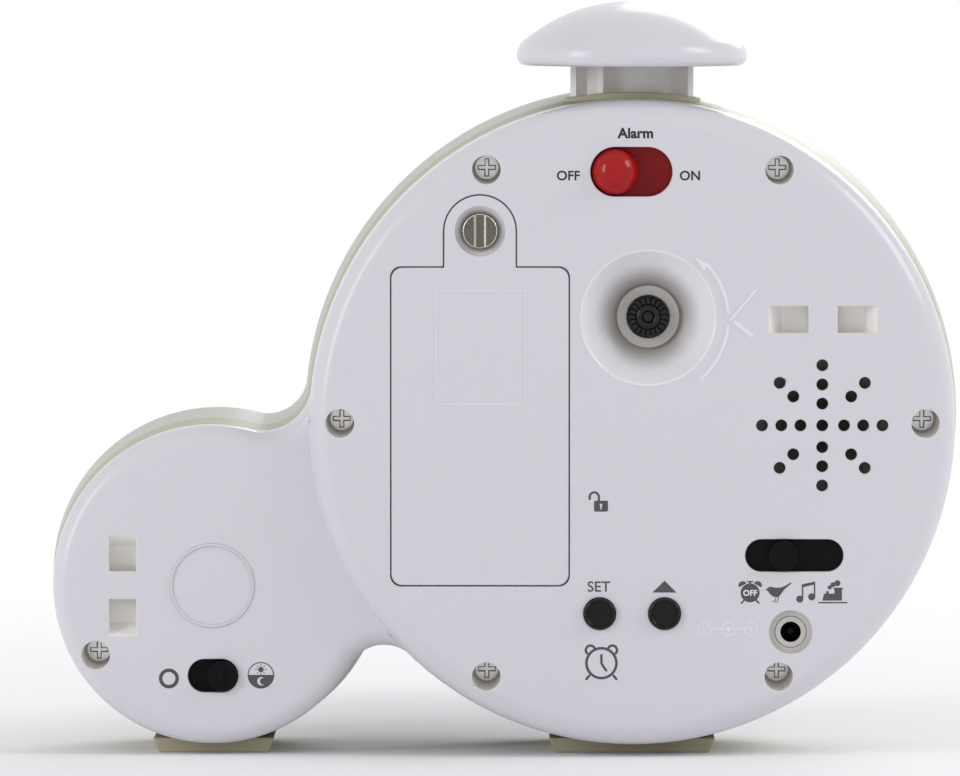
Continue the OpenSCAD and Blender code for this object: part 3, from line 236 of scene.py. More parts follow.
def on_rear(lobe, x=0, y=0, out=0):
    """The place of a point on the rear side, in mm from a lobe's centre and the large lobe's face"""
    facing = Matrix(((-1, 0, 0, lobe[0]), (0, 0, 1, rear_face_y), (0, 1, 0, lobe[1]), (0, 0, 0, 1)))
    return facing @ Matrix.Translation((x / 1000, y / 1000, out / 1000))


def line_recess(piece, place, reach, material, below=0.12):
    """Gives a material to the faces below a place, in a circle (a radius) or a box (half sizes), in mm"""
    if material.name not in piece.data.materials:
        piece.data.materials.append(material)
    index = piece.data.materials.find(material.name)
    back = place.inverted()
    for face in piece.data.polygons:
        spot = 1000 * (back @ face.center)
        if isinstance(reach, float):
            near = spot.xy.length < reach
        else:
            near = abs(spot.x) < reach[0] and abs(spot.y) < reach[1]
        if near and spot.z < -below:
            face.material_index = index


# The moulded screw wells, in mm: the radii of bore and wall, and where the wall's top is.
well_bore_r = 2.9
well_wall_r = 3.9
well_top = -0.5


def lay_flush(piece, place):
    """Closes the cover's rounded edge where the top of a well's wall stands out of it"""
    mesh = bmesh.new()
    mesh.from_mesh(piece.data)
    back = place.inverted()
    tops = []
    for face in mesh.faces:
        spots = [1000 * (back @ vertex.co) for vertex in face.verts]
        in_height = all(-1.9 < spot.z < well_top + 0.01 for spot in spots)
        in_wall = all(well_bore_r - 0.05 < spot.xy.length < well_wall_r + 0.06 for spot in spots)
        level = all(spot.z > well_top - 0.01 for spot in spots)
        upright = all(spot.xy.length > well_wall_r - 0.1 for spot in spots)
        if in_height and in_wall and (level or upright):
            tops.append(face)
    bmesh.ops.delete(mesh, geom=tops, context="FACES")
    bmesh.ops.holes_fill(mesh, edges=[edge for edge in mesh.edges if edge.is_boundary], sides=0)
    bmesh.ops.recalc_face_normals(mesh, faces=mesh.faces)
    mesh.to_mesh(piece.data)
    mesh.free()


def shaded(name, place, inner, outer, deep, light):
    """ABS of a round recess with painted shade: darker at its bottom than on its wall, between two radii in
    mm
    """
    material = moulded(name, light, 0.3, specular=0.3)
    tree = material.node_tree
    here = tree.nodes["Texture Coordinate"].outputs["Object"]
    flat = add_node(tree, "VectorMath", {"operation": "MULTIPLY"}, {1: (1, 0, 1)}, {0: here})
    axis = (place.translation.x, 0, place.translation.z)
    away = add_node(tree, "VectorMath", {"operation": "DISTANCE"}, {1: axis}, {0: flat.outputs[0]})
    up_wall = add_node(tree, "MapRange", {"interpolation_type": "SMOOTHSTEP"},
        {"From Min": inner / 1000, "From Max": outer / 1000}, {"Value": away.outputs["Value"]})
    shader = tree.nodes["Principled BSDF"]
    plain = shader.inputs["Base Color"].links[0].from_socket
    tint = add_node(tree, "Mix", {"data_type": "RGBA"}, {6: linear(deep)}, {0: up_wall.outputs[0], 7: plain})
    tree.links.new(tint.outputs[2], shader.inputs["Base Color"])
    return material


# White ABS from a polished mould: a clear but slightly soft reflection of the soft boxes.
white_abs = moulded("glossy white ABS, polished mould", "#dad8de", 0.24, specular=0.35)
# The same ABS where the mould is left matt, painted paler and warmer in the recesses as painted bounce light.
# The wells' ABS also has a painted glow, which stands for light through their thin walls.
bounce_lit_recess_abs = moulded("white ABS, matt recess with painted bounce light", "#efece8", 0.5, grain=0.2, depth=0.006, specular=0.2)
glowing_well_abs = moulded("white ABS, well with painted glow", "#eeebe8", 0.5, grain=0.2, depth=0.006, specular=0.2)
# Painted glow: the wells' ABS gives off a little light of its own.
shader = glowing_well_abs.node_tree.nodes["Principled BSDF"]
shader.inputs["Emission Color"].default_value = linear("#f1eeea")
shader.inputs["Emission Strength"].default_value = 0.06
# Polished relief, painted lighter than the face: a painted highlight on its lines, on the bowl's rim and on
# the door's frame.
highlit_relief_abs = moulded("white ABS, polished relief with painted highlight", "#ebe9ef", 0.12)
# The bowl, its collar and the inlet's recess get painted shade, darker where little light reaches, and the
# bowl's upper wall is painted lighter, as if lit.
bowl_at = on_rear(big_lobe, 3.104, 21.275)
inlet_at = on_rear(big_lobe, 31.7, -41.8)
bowl_shade_and_light_abs = shaded("white ABS, bowl with painted shade and light", bowl_at, 6.6, 11.6, "#9b9792", "#eae8ec")
collar_shade_abs = moulded("white ABS, collar of the bowl in painted shade", "#b1aea9", 0.4, specular=0.2)
inlet_shade_abs = moulded("white ABS, recess of the inlet in painted shade", "#c6c3be", 0.4, specular=0.2)
well_ring_r = 58.7
turns = [math.radians(turn) for turn in range(0, 360, 60)]
wells = [on_rear(big_lobe, well_ring_r * math.cos(turn), well_ring_r * math.sin(turn)) for turn in turns]
wells.append(on_rear(small_lobe, -23.45, -14.15, small_face))
rear_cover = moulding("rear_cover", "rear_cover_moulding", 0)
for well in wells:
    lay_flush(rear_cover, well)
soften(rear_cover, 0.25)
belongs(rear_cover, "case", white_abs, ["rear_cover"])
# Painted light and shade on the cover: the wells' painted glow, the slots' painted bounce light, a painted
# highlight on the bowl's rim, painted shade in the inlet's recess, the bowl and its collar, and a painted
# lighter upper wall of the bowl.
for well in wells:
    line_recess(rear_cover, well, 2.95, glowing_well_abs)
line_recess(rear_cover, on_rear(big_lobe, 38.1, 20.9), (11, 3), bounce_lit_recess_abs)
line_recess(rear_cover, on_rear(small_lobe, -18, 0, small_face), (3, 11), bounce_lit_recess_abs)
line_recess(rear_cover, inlet_at, 4.35, inlet_shade_abs)
line_recess(rear_cover, bowl_at, 13.8, highlit_relief_abs, 0.03)
line_recess(rear_cover, bowl_at, 13.45, bowl_shade_and_light_abs, 0.26)
line_recess(rear_cover, bowl_at, 6.2, collar_shade_abs, 4.5)


# ---- Prints and raised marks on the rear cover ----------------------------------------
# The words and signs beside the controls are pad printed in one thin layer of grey or black
# ink. The arrow round the time setting bowl and the plug's polarity sign are moulded in low
# relief. All are generic signs. They are drawn as seen from behind, in mm from the large
# lobe's centre, x to the right and y up.
ink_thickness = 0.02


def arc(x, y, r, start=0, end=360, steps=48):
    """Points of an arc, with angles in degrees counterclockwise from the right"""
    count = steps + 1 if abs(end - start) < 360 else steps
    turns = [math.radians(start + (end - start) * i / steps) for i in range(count)]
    return [(x + r * math.cos(t), y + r * math.sin(t)) for t in turns]


def stroke(points, width):
    """The outline of a line of points drawn with a round pen"""
    half = width / 2
    sides = ([], [])
    for i, (x, y) in enumerate(points):
        before = points[max(i - 1, 0)]
        after = points[min(i + 1, len(points) - 1)]
        along = Vector((after[0] - before[0], after[1] - before[1])).normalized()
        for side, sign in zip(sides, (1, -1)):
            side.append((x - sign * along.y * half, y + sign * along.x * half))
    ends = []
    for tip, inner in ((points[-1], points[-2]), (points[0], points[1])):
        heading = math.degrees(math.atan2(tip[1] - inner[1], tip[0] - inner[0]))
        ends.append(arc(tip[0], tip[1], half, heading + 75, heading - 75, 6))
    return sides[0] + ends[0] + sides[1][::-1] + ends[1]


def flat_mark(name, shape, place, thickness):
    """Turns a curve or text in mm into a thin solid that lies on its place"""
    shape.extrude = thickness / 2
    mark = bpy.data.objects.new(name, shape)
    scene.collection.objects.link(mark)
    take(mark)
    bpy.ops.object.convert(target="MESH")
    mark = bpy.context.object
    mark.data.transform(place @ Matrix.Scale(0.001, 4) @ Matrix.Translation((0, 0, thickness / 2)))
    return mark


def drawing(name, parts, place, thickness=ink_thickness):
    """A thin solid of parts that may cross: each is a closed outline, followed by the holes in it"""
    marks = []
    for i, outlines in enumerate(parts):
        shape = bpy.data.curves.new(name, "CURVE")
        shape.dimensions = "2D"
        shape.fill_mode = "BOTH"
        for points in outlines:
            line = shape.splines.new("POLY")
            line.points.add(len(points) - 1)
            for point, (x, y) in zip(line.points, points):
                point.co = (x, y, 0, 1)
            line.use_cyclic_u = True
        marks.append(flat_mark(name, shape, place, thickness + 0.0005 * i))
    bpy.ops.object.select_all(action="DESELECT")
    for mark in marks:
        mark.select_set(True)
    bpy.context.view_layer.objects.active = marks[0]
    bpy.ops.object.join()
    return marks[0]


def lettering(name, words, height, place, align="CENTER", weight=0.0):
    """Printed capitals of a height in mm that stand on their place"""
    shape = bpy.data.curves.new(name, "FONT")
    shape.body = words
    shape.size = height / 0.729
    shape.align_x = align
    shape.offset = weight
    shape.space_character = 1.02
    return flat_mark(name, shape, place, ink_thickness)


# Pad printing inks: matt, with a slightly uneven film of ink.
grey_ink = moulded("grey pad printing ink", "#4a4a50", 0.55, grain=0.2, depth=0.003, cloud=3, spread=0.06)
black_ink = moulded("black pad printing ink", "#101014", 0.5, grain=0.2, depth=0.003, cloud=3, spread=0.06)
white_ink = moulded("white pad printing ink", "#e9e8ec", 0.5, grain=0.2, depth=0.003, cloud=3, spread=0.02)

for words, height, x, y, align, weight, material in (
    ("Alarm", 2.05, 0.55, 57.3, "CENTER", 0.1, black_ink),
    ("ON", 1.92, 9.3, 48.85, "LEFT", 0.06, black_ink),
    ("OFF", 1.92, -10.6, 48.85, "RIGHT", 0.06, black_ink),
    ("SET", 2.14, -6.8, -33.65, "CENTER", 0.04, grey_ink),
):
    word = lettering("print_" + words.lower(), words, height, on_rear(big_lobe, x, y), align, weight)
    belongs(word, "case", material)

up_sign = [[(3.95, -33.85), (8.8, -33.85), (6.4, -31.45)]]
up_sign = drawing("print_up_sign", [up_sign], on_rear(big_lobe))
belongs(up_sign, "case", grey_ink)

# Alarm clock sign under the SET button: a ring, two open bells, two hands and two feet.
clock_sign = [[arc(0, 0, 3.27), arc(0, 0, 2.74)]]
clock_sign.append([stroke([(0, 1.6), (0, 0.0), (0.35, -0.6), (0.95, -1.45)], 0.5)])
for side in (-1, 1):
    clock_sign.append([stroke([(side * x, y) for x, y in arc(2.2, 2.62, 0.92, -42, 172, 20)], 0.5)])
    clock_sign.append([stroke([(side * 2.45, -2.55), (side * 3.0, -3.2)], 0.5)])
clock_print = drawing("print_alarm_clock", clock_sign, on_rear(big_lobe, -6.25, -48.05))
belongs(clock_print, "case", grey_ink)

# Open padlock: long presses unlock the setting.
lock_body = [(-1.2, -1.0), (1.2, -1.0), (1.4, -0.8), (1.4, 1.0), (1.2, 1.2), (-1.2, 1.2), (-1.4, 1.0),
    (-1.4, -0.8)]
key_hole = arc(0, 0.35, 0.27, 230, -50, 16) + [(0.13, -0.55), (-0.13, -0.55)]
shackle = stroke([(-2.27, 1.55)] + arc(-1.35, 1.95, 0.92, 180, 0, 16) + [(-0.43, 1.1)], 0.46)
padlock = [[lock_body, key_hole], [shackle]]
padlock_print = drawing("print_open_padlock", padlock, on_rear(big_lobe, -6.35, -16.6))
belongs(padlock_print, "case", grey_ink)

# Four sounds: alarm clock silenced, bird, notes and steam engine.
sounds = [
    (0.0, [
        [arc(0, -0.2, 1.9)],
        [stroke([(-1.2, -1.7), (-1.75, -2.25)], 0.34)], [stroke([(1.2, -1.7), (1.75, -2.25)], 0.34)],
        [[(-0.65, 2.2), (0.65, 2.2), (0.65, 1.95), (0.2, 1.95), (0.2, 1.7), (-0.2, 1.7), (-0.2, 1.95),
          (-0.65, 1.95)]],
        [arc(-1.5, 1.3, 0.85, 28, 208, 16)], [arc(1.5, 1.3, 0.85, 152, -28, 16)],
    ]),
    (5.5, [
        [[(-2.5, 0.35), (-2.0, 0.75), (-1.6, 1.05), (-1.1, 1.0), (-0.6, 0.85), (0.4, 0.85), (1.3, 1.1),
          (2.7, 1.9), (2.8, 1.7), (1.6, 0.7), (1.0, 0.0), (0.5, -0.7), (-0.1, -1.1), (-0.9, -0.95),
          (-1.6, -0.35), (-2.0, 0.25)]],
        [stroke([(-0.3, -1.0), (-0.45, -1.8), (-1.0, -1.95)], 0.16)],
        [stroke([(0.25, -0.8), (0.05, -1.9), (-0.45, -2.15)], 0.16)],
    ]),
    (11.2, [
        [arc(-1.25, -1.45, 0.72, 0, 360, 24)], [arc(1.15, -1.0, 0.72, 0, 360, 24)],
        [[(-0.84, -1.35), (-0.54, -1.35), (-0.54, 0.95), (1.56, 1.45), (1.56, -0.9), (1.86, -0.9),
          (1.86, 2.1), (-0.84, 1.5)]],
    ]),
    (16.6, [
        [[(-2.9, -2.3), (2.9, -2.3), (2.9, -2.02), (-2.9, -2.02)]],
        [[(-2.1, -1.75), (-1.8, -0.35), (-1.35, -0.35), (-1.35, 0.15), (-0.85, 0.15), (-0.85, -0.35),
          (0.3, -0.35), (0.3, 0.55), (0.1, 0.55), (0.1, 0.85), (2.0, 0.85), (2.0, 0.55), (1.8, 0.55),
          (1.8, -1.75)]],
        [arc(-0.65, 0.9, 0.42, 0, 360, 20)], [arc(0.0, 1.45, 0.5, 0, 360, 20)],
        [arc(0.9, 1.75, 0.6, 0, 360, 20)],
    ]),
]
sounds_x = 23.55
for i, (x, parts) in enumerate(sounds):
    sign = drawing("print_sound_%d" % i, parts, on_rear(big_lobe, sounds_x + x, -33.7))
    belongs(sign, "case", grey_ink)
off_at = on_rear(big_lobe, sounds_x, -34.45, ink_thickness)
off_word = lettering("print_sound_off", "OFF", 1.15, off_at, weight=0.05)
belongs(off_word, "case", white_ink)

# Signs of the night light: a ring for off, and a disc half day, half night.
ring_at = on_rear(small_lobe, -8.7, -18.75, small_face)
ring_sign = drawing("print_light_ring", [[arc(0, 0, 2.02), arc(0, 0, 1.3)]], ring_at)
belongs(ring_sign, "case", grey_ink)
day_half = arc(0, 0, 2.46, 2, 178, 30)
crescent = arc(0.1, -1.2, 0.85, 60, 300, 24) + arc(0.5, -1.2, 0.68, 285, 75, 20)
day_night = [[arc(0, 0, 2.68), day_half, crescent], [arc(0, 1.15, 0.55, 0, 360, 24)]]
for turn in range(0, 360, 45):
    across = math.cos(math.radians(turn))
    up = math.sin(math.radians(turn))
    day_night.append([stroke([(reach * across, 1.15 + reach * up) for reach in (0.8, 1.05)], 0.16)])
day_night = drawing("print_day_night", day_night, on_rear(small_lobe, 9.8, -18.1, small_face))
belongs(day_night, "case", grey_ink)

# Relief of the mould: the arrow, two clock hands and the polarity sign of the plug.
turn_arrow = [
    [stroke(arc(3.28, 21.1, 15.86, 42.6, 4.2, 24), 0.62)],
    [stroke(arc(3.28, 21.1, 15.86, -5.7, -48.8, 30), 0.62)],
    [[(12.3, 33.5), (15.2, 32.05), (14.2, 30.7)]],
    [stroke([(19.56, 20.9), (24.64, 26.84)], 0.5)], [stroke([(20.4, 20.5), (23.8, 17.75)], 0.8)],
]
polarity = [
    [arc(14.3, -41.2, 1.35), arc(14.3, -41.2, 1.15)], [stroke([(13.7, -41.2), (14.9, -41.2)], 0.2)],
    [stroke([(15.75, -41.2), (17.9, -41.2)], 0.2)], [stroke(arc(19.2, -41.2, 1.3, 35, 325, 24), 0.22)],
    [arc(19.2, -41.2, 0.42, 0, 360, 20)], [stroke([(19.75, -41.2), (22.3, -41.2)], 0.2)],
    [arc(23.75, -41.2, 1.35), arc(23.75, -41.2, 1.15)], [stroke([(23.2, -41.2), (24.3, -41.2)], 0.2)],
    [stroke([(23.75, -40.65), (23.75, -41.75)], 0.2)],
]
# The relief marks carry the painted highlight of the lighter relief ABS.
for name, parts, height in (("relief_arrow", turn_arrow, 0.12), ("relief_polarity", polarity, 0.05)):
    relief = drawing(name, parts, on_rear(big_lobe), height)
    belongs(relief, "case", highlit_relief_abs)


# ---- Battery door, its screw and the cells --------------------------------------------
# The door is moulded from the same white ABS, with a bare raised frame on it. A slotted
# screw of blackened nickel turns in a brass insert. Two AA cells in a plain green sleeve lie
# between nickel plated springs and contacts.
def metal(name, colour, roughness, grain=0.08, depth=0.003, stretch=(1, 1, 1), spread=0.12):
    """Bare or plated metal with fine marks of its making, in mm, that may be drawn out along an axis"""
    material = bpy.data.materials.new(name)
    material.use_nodes = True
    tree = material.node_tree
    shader = tree.nodes["Principled BSDF"]
    shader.inputs["Metallic"].default_value = 1
    place = add_node(tree, "TexCoord").outputs["Object"]
    drawn = add_node(tree, "Mapping", values={"Scale": stretch}, links={"Vector": place})
    marks = add_node(tree, "TexNoise", values={"Scale": 1000 / grain, "Detail": 4},
        links={"Vector": drawn.outputs[0]})
    tone = linear(colour)
    darker = [c * (1 - spread) for c in tone[:3]] + [1]
    mixed = add_node(tree, "Mix", {"data_type": "RGBA"}, {6: darker, 7: tone}, {0: marks.outputs["Fac"]})
    tree.links.new(mixed.outputs[2], shader.inputs["Base Color"])
    worn = add_node(tree, "MapRange", {"clamp": False},
        {"To Min": roughness * 0.7, "To Max": roughness * 1.3}, {"Value": marks.outputs["Fac"]})
    tree.links.new(worn.outputs[0], shader.inputs["Roughness"])
    bump = add_node(tree, "Bump", values={"Strength": 1, "Distance": depth / 1000},
        links={"Height": marks.outputs["Fac"]})
    tree.links.new(bump.outputs[0], shader.inputs["Normal"])
    return material


battery_door = moulding("battery_door", "battery_door_moulding", 0.2)
belongs(battery_door, "battery_door_panel", white_abs, ["battery_door"])
coin_at = on_rear(big_lobe, -30.6, 38.6)
# The screw's recess is painted darker towards the screw: painted shade.
coin_recess_shade_abs = shaded("white ABS, recess of the screw in painted shade", coin_at, 3.5, 4.9, "#6d6860", "#dedce0")
line_recess(battery_door, coin_at, 5.1, coin_recess_shade_abs, 0.2)
frame_lines = [[(-39.5, 3.8), (-21.4, 3.8), (-21.4, 26.8), (-39.5, 26.8)],
    [(-39.3, 4.0), (-21.6, 4.0), (-21.6, 26.6), (-39.3, 26.6)]]
# The door's raised frame carries the painted highlight of the lighter relief ABS.
door_frame = drawing("door_raised_frame", [frame_lines], on_rear(big_lobe), 0.08)
belongs(door_frame, "battery_door_panel", highlit_relief_abs)

# Nickel blackened in a bath, mottled, and worn bright along the edges of the coin's slot.
dark_nickel = metal("blackened nickel, mottled", "#7d776d", 0.38, grain=0.5, depth=0.03, spread=0.6)
worn_nickel = metal("nickel worn bright on the edges", "#d8d2c6", 0.25, grain=0.3, depth=0.01)
coin_screw = moulding("battery_door_screw", "coin_screw_turned", 0)
belongs(coin_screw, "coin_screw", dark_nickel, ["battery_door_screw"])
coin_screw.data.materials.append(worn_nickel)
soften(coin_screw, 0.2, 3, edge_material=1)
# Brass turned on a lathe: warm, with fine rings across the light.
brass = metal("turned brass", "#cfa65a", 0.28, grain=0.25, stretch=(1, 0.1, 1))
dress(["door_screw_insert", "movement_nut"], brass)
# Nickel plate over drawn wire: bright, with faint lines along it.
nickel_wire = metal("nickel plated spring wire", "#c9c7c2", 0.22, grain=0.4)
dress(["battery_springs", "battery_contacts", "button_return_spring"], nickel_wire)


def turned(name, rings, sides=64):
    """A solid of revolution from rings of (radius, height) in mm: a tube if the last is the first"""
    bpy.ops.object.select_all(action="DESELECT")
    radius, height = rings[0]
    cap = "NOTHING" if rings[0] == rings[-1] else "NGON"
    bpy.ops.mesh.primitive_circle_add(vertices=sides, radius=radius / 1000, fill_type=cap,
        location=(0, 0, 0))
    piece = bpy.context.object
    piece.name = name
    bpy.ops.object.mode_set(mode="EDIT")
    bpy.ops.mesh.select_all(action="SELECT")
    bpy.ops.transform.translate(value=(0, 0, height / 1000))
    for r, h in rings[1:]:
        bpy.ops.mesh.extrude_region_move(TRANSFORM_OT_translate={"value": (0, 0, (h - height) / 1000)})
        bpy.ops.transform.resize(value=(r / radius, r / radius, 1), center_override=(0, 0, h / 1000))
        radius, height = r, h
    bpy.ops.mesh.select_all(action="SELECT")
    bpy.ops.mesh.remove_doubles(threshold=0.000001)
    bpy.ops.mesh.normals_make_consistent(inside=False)
    bpy.ops.object.mode_set(mode="OBJECT")
    bpy.ops.object.shade_smooth_by_angle(angle=math.radians(32))
    return piece


def settle(piece, place):
    """Moves a piece's mesh to its place and leaves its object at the origin"""
    piece.data.transform(place)
    piece.data.update()


# Each cell is a steel can in a shrunk sleeve that turns in over both of its ends. The cells lie
# side by side, the second one turned over.
cell_sleeve = moulded("green shrink sleeve", "#3f7a3a", 0.3, grain=1.2, depth=0.01, cloud=8, spread=0.05)
can_steel = metal("nickel plated can", "#cfcdc8", 0.2, grain=0.5)
cell_y = 0.01165
cell_z = 0.0666
bay_x = 4.75
cell_off = 7.6
shoulder = 24.45
for number, side, turned_over in ((0, -1, 0), (1, 1, math.pi)):
    middle = (bay_x + side * cell_off) / 1000
    place = Matrix.Translation((middle, cell_y, cell_z)) @ Matrix.Rotation(turned_over, 4, "X")
    sleeve = turned("cell_sleeve_%d" % number, [(5.6, -24.9), (6.6, -24.95), (7.05, -24.5), (7.08, -24.0),
        (7.08, 10.5), (7.08, 10.9), (7.08, shoulder - 0.6), (7.0, shoulder - 0.1), (6.6, shoulder + 0.25),
        (5.6, shoulder + 0.2)])
    can = turned("cell_can_%d" % number, [(5.4, -25.05), (6.1, -24.93), (6.1, 24.0), (5.9, shoulder + 0.3),
        (4.4, shoulder + 0.35), (4.2, shoulder - 0.1), (2.9, shoulder - 0.1), (2.7, shoulder + 0.2),
        (2.6, shoulder + 1.2), (2.3, shoulder + 1.5), (1.2, shoulder + 1.55)])
    settle(sleeve, place)
    settle(can, place)
    belongs(sleeve, "case", cell_sleeve, ["batteries"])
    belongs(can, "case", can_steel, ["batteries"])


# ---- Case screws ----------------------------------------------------------------------
# Seven zinc plated pan head screws sit at the bottom of the moulded wells and hold the cover,
# the band and the front shell together. The board screws are smaller ones of the same kind.

# Zinc plate: bright grey, with the faint grain of cold heading.
zinc = metal("zinc plated steel, cold headed", "#d4d4d4", 0.22, grain=0.25)
case_screws = moulding("case_screws", "case_screws_headed", 0.15)
belongs(case_screws, "case", zinc, ["case_screws"])
dress(["board_screws"], zinc)


# ---- Band and front housing -------------------------------------------------------------
# The middle band is moulded from olive cream ABS and the front shell from off-white ABS, both
# from satin moulds. Their edges have a small radius, which makes the two seams visible.

# Satin olive cream: soft, wide highlights. The off-white shell is a little glossier.
olive_abs = moulded("olive cream ABS, satin mould", "#aba78c", 0.42, grain=0.25, depth=0.008, specular=0.3)
band = moulding("band_housing", "band_moulding", 0.15)
belongs(band, "case", olive_abs, ["band_housing"])
pale_abs = moulded("off-white ABS, satin mould", "#b6b5ac", 0.36, grain=0.25, depth=0.006, specular=0.3)
front_shell = moulding("front_housing", "front_moulding", 0.15)
belongs(front_shell, "case", pale_abs, ["front_housing"])


# ---- Feet -------------------------------------------------------------------------------
# Two feet of soft olive cream rubber are glued under the lobes. Their matt skin shows a fine
# grain, and their lower edges are rounded.
rubber = moulded("olive cream rubber, matt mould", "#b3ae94", 0.8, grain=0.3, depth=0.02, spread=0.03,
    specular=0.3)
feet = moulding("rubber_feet", "feet_moulding", 0.3)
belongs(feet, "case", rubber, ["rubber_feet"])


# ---- Mushroom button --------------------------------------------------------------------
# The big button is one piece of glossy white ABS with an open stem, which slides in a guide of
# olive cream ABS against a coil spring, and whose pin presses the snooze switch.
mushroom = moulding("mushroom_button", "mushroom_moulding", 0.3)
belongs(mushroom, "mushroom", white_abs, ["mushroom_button"])
# The stem under the cap's rim is thin walled too, and gets the wells' paler colour and painted glow: painted
# light in the cap's shade.
cap_rim_z = 0.1384
line_recess(mushroom, Matrix.Translation((big_lobe[0], 0, cap_rim_z)), (20, 30), glowing_well_abs, 0)
guide = moulding("button_guide", "guide_moulding", 0.12)
belongs(guide, "case", olive_abs, ["button_guide"])

# The guide's rim stands a little proud of the lobe and follows its curve.
rim_bottom_z = 0.13
rim_top_r = 0.0663
rim_bottom_r = 0.0642
stem_y = rear_face_y - 0.023
guide_rim = turned("guide_rim", [(12.9, 0), (13.9, 0), (13.9, 4), (12.9, 4), (12.9, 0)], 128)
settle(guide_rim, Matrix.Translation((big_lobe[0], stem_y, rim_bottom_z)))
for vertex in guide_rim.data.vertices:
    radius = rim_top_r if vertex.co.z > rim_bottom_z + 0.002 else rim_bottom_r
    vertex.co.z = big_lobe[1] + math.sqrt(radius ** 2 - (vertex.co.x - big_lobe[0]) ** 2)
soften(guide_rim, 0.3)
belongs(guide_rim, "case", olive_abs)


# ---- Power inlet --------------------------------------------------------------------------
# The inlet for a barrel plug has a black body and a white collar, which shows in a round recess of the cover;
# collar and recess are painted grey with shade. The switches that the buttons press have the same black body.

# Black ABS from a fine textured mould: deep, with a low and soft gloss.
black_abs = moulded("black ABS, fine texture", "#08080a", 0.42, grain=0.18, depth=0.006, spread=0.05,
    specular=0.1)
dress(["snooze_switch", "tact_switches"], black_abs)
inlet = moulding("dc_jack", "inlet_moulding", 0.1)
belongs(inlet, "case", black_abs, ["dc_jack"])
# The collar takes the painted shade of the inlet's recess.
inlet.data.materials.append(inlet_shade_abs)
bore_r = 2.0
for face in inlet.data.polygons:
    corners = [1000 * (inlet_at.inverted() @ inlet.data.vertices[i].co) for i in face.vertices]
    if min(c.z for c in corners) > -3 and min(c.xy.length for c in corners) > bore_r:
        face.material_index = 1


# ---- Alarm switch -----------------------------------------------------------------------
# The alarm's slider is moulded from red ABS. Its round knob is polished, and the plate that closes the slot
# behind it is satin, lies in the shade of the cover, and is painted a darker red for that shade.
def cut_off(piece, point, normal):
    """Keeps the side of a piece that lies against the normal, and closes the cut"""
    take(piece)
    bpy.ops.object.mode_set(mode="EDIT")
    bpy.ops.mesh.select_all(action="SELECT")
    bpy.ops.mesh.bisect(plane_co=point, plane_no=normal, use_fill=True, clear_outer=True, threshold=0.000001)
    bpy.ops.mesh.select_all(action="SELECT")
    bpy.ops.mesh.normals_make_consistent(inside=False)
    bpy.ops.object.mode_set(mode="OBJECT")


plate_face = rear_face_y - 0.00215
cut_y = plate_face + 0.00005
# Polished red ABS: a clear, small highlight. The plate's is satin, and its red is painted darker for the
# shade in its slot.
red_abs = moulded("glossy red ABS", "#a81012", 0.1, spread=0.03, specular=0.22)
shaded_red_abs = moulded("satin red ABS in painted shade", "#7e1315", 0.4, spread=0.03, specular=0.15)
alarm_knob = moulding("alarm_slider", "alarm_knob_polished", 0)
cut_off(alarm_knob, (0, cut_y, 0), (0, -1, 0))
soften(alarm_knob, 0.15)
belongs(alarm_knob, "alarm_slide_knob", red_abs, ["alarm_slider"])
alarm_plate = moulding("alarm_slider", "alarm_plate", 0)
cut_off(alarm_plate, (0, cut_y, 0), (0, 1, 0))
soften(alarm_plate, 0.1)
belongs(alarm_plate, "alarm_slide_knob", shaded_red_abs, ["alarm_slider"])

# Tinned steel cans of the three slide switches, and green boards with their solder mask.
tinned = metal("tinned steel sheet", "#b9b8b4", 0.3, grain=0.5)
dress(["alarm_switch", "sound_switch", "light_switch"], tinned)
solder_mask = moulded("green solder mask", "#10452c", 0.28, grain=1.5, depth=0.02, cloud=4, spread=0.25)
dress(["alarm_board", "main_board", "light_board"], solder_mask)


# ---- Sound selector, night light switch and push buttons --------------------------------
# Black sliders with a small ridge for the finger nail run behind their slots. The two black
# push buttons have a flat face inside a thin rim, which catches the light.
for node, body in (("sound_slider", "sound_slide_knob"), ("light_slider", "light_slide_knob")):
    slider = moulding(node, node + "_moulding", 0.12)
    belongs(slider, body, black_abs, [node])
glossy_black = moulded("black ABS, polished", "#08080a", 0.2, spread=0.05, specular=0.2)
for node, body, x in (("set_button", "set_push", 6.6), ("up_button", "up_push", -6.4)):
    button = turned(node + "_moulding", [(1.5, -5.4), (1.5, -2.85), (3.95, -2.83), (3.95, -2.2),
        (3.09, -2.18), (3.09, 0.6), (3.02, 0.85), (2.85, 0.97), (2.62, 0.98), (2.52, 0.9), (2.46, 0.72),
        (0.4, 0.7)])
    settle(button, on_rear(big_lobe, -x, -38.1))
    belongs(button, body, glossy_black, [node])


# ---- Speaker ----------------------------------------------------------------------------
# A small moving coil speaker is pressed into a ring behind the holes: a black steel frame, a
# paper cone with a fibrous surface, and a magnet.

# Grey brown paper, behind the holes, is a dull dark ground. Steel and iron have a low gloss.
paper = moulded("grey brown paper cone", "#6a625b", 0.85, grain=0.5, depth=0.06, cloud=2, spread=0.3,
    specular=0.2)
dress(["speaker_cone"], paper)
black_steel = moulded("black painted steel", "#26262a", 0.45, grain=0.3, depth=0.005)
dress(["speaker_frame"], black_steel)
iron = metal("soft iron, stamped", "#8d8e90", 0.38, grain=0.6)
dress(["speaker_magnet", "movement_stator"], iron)


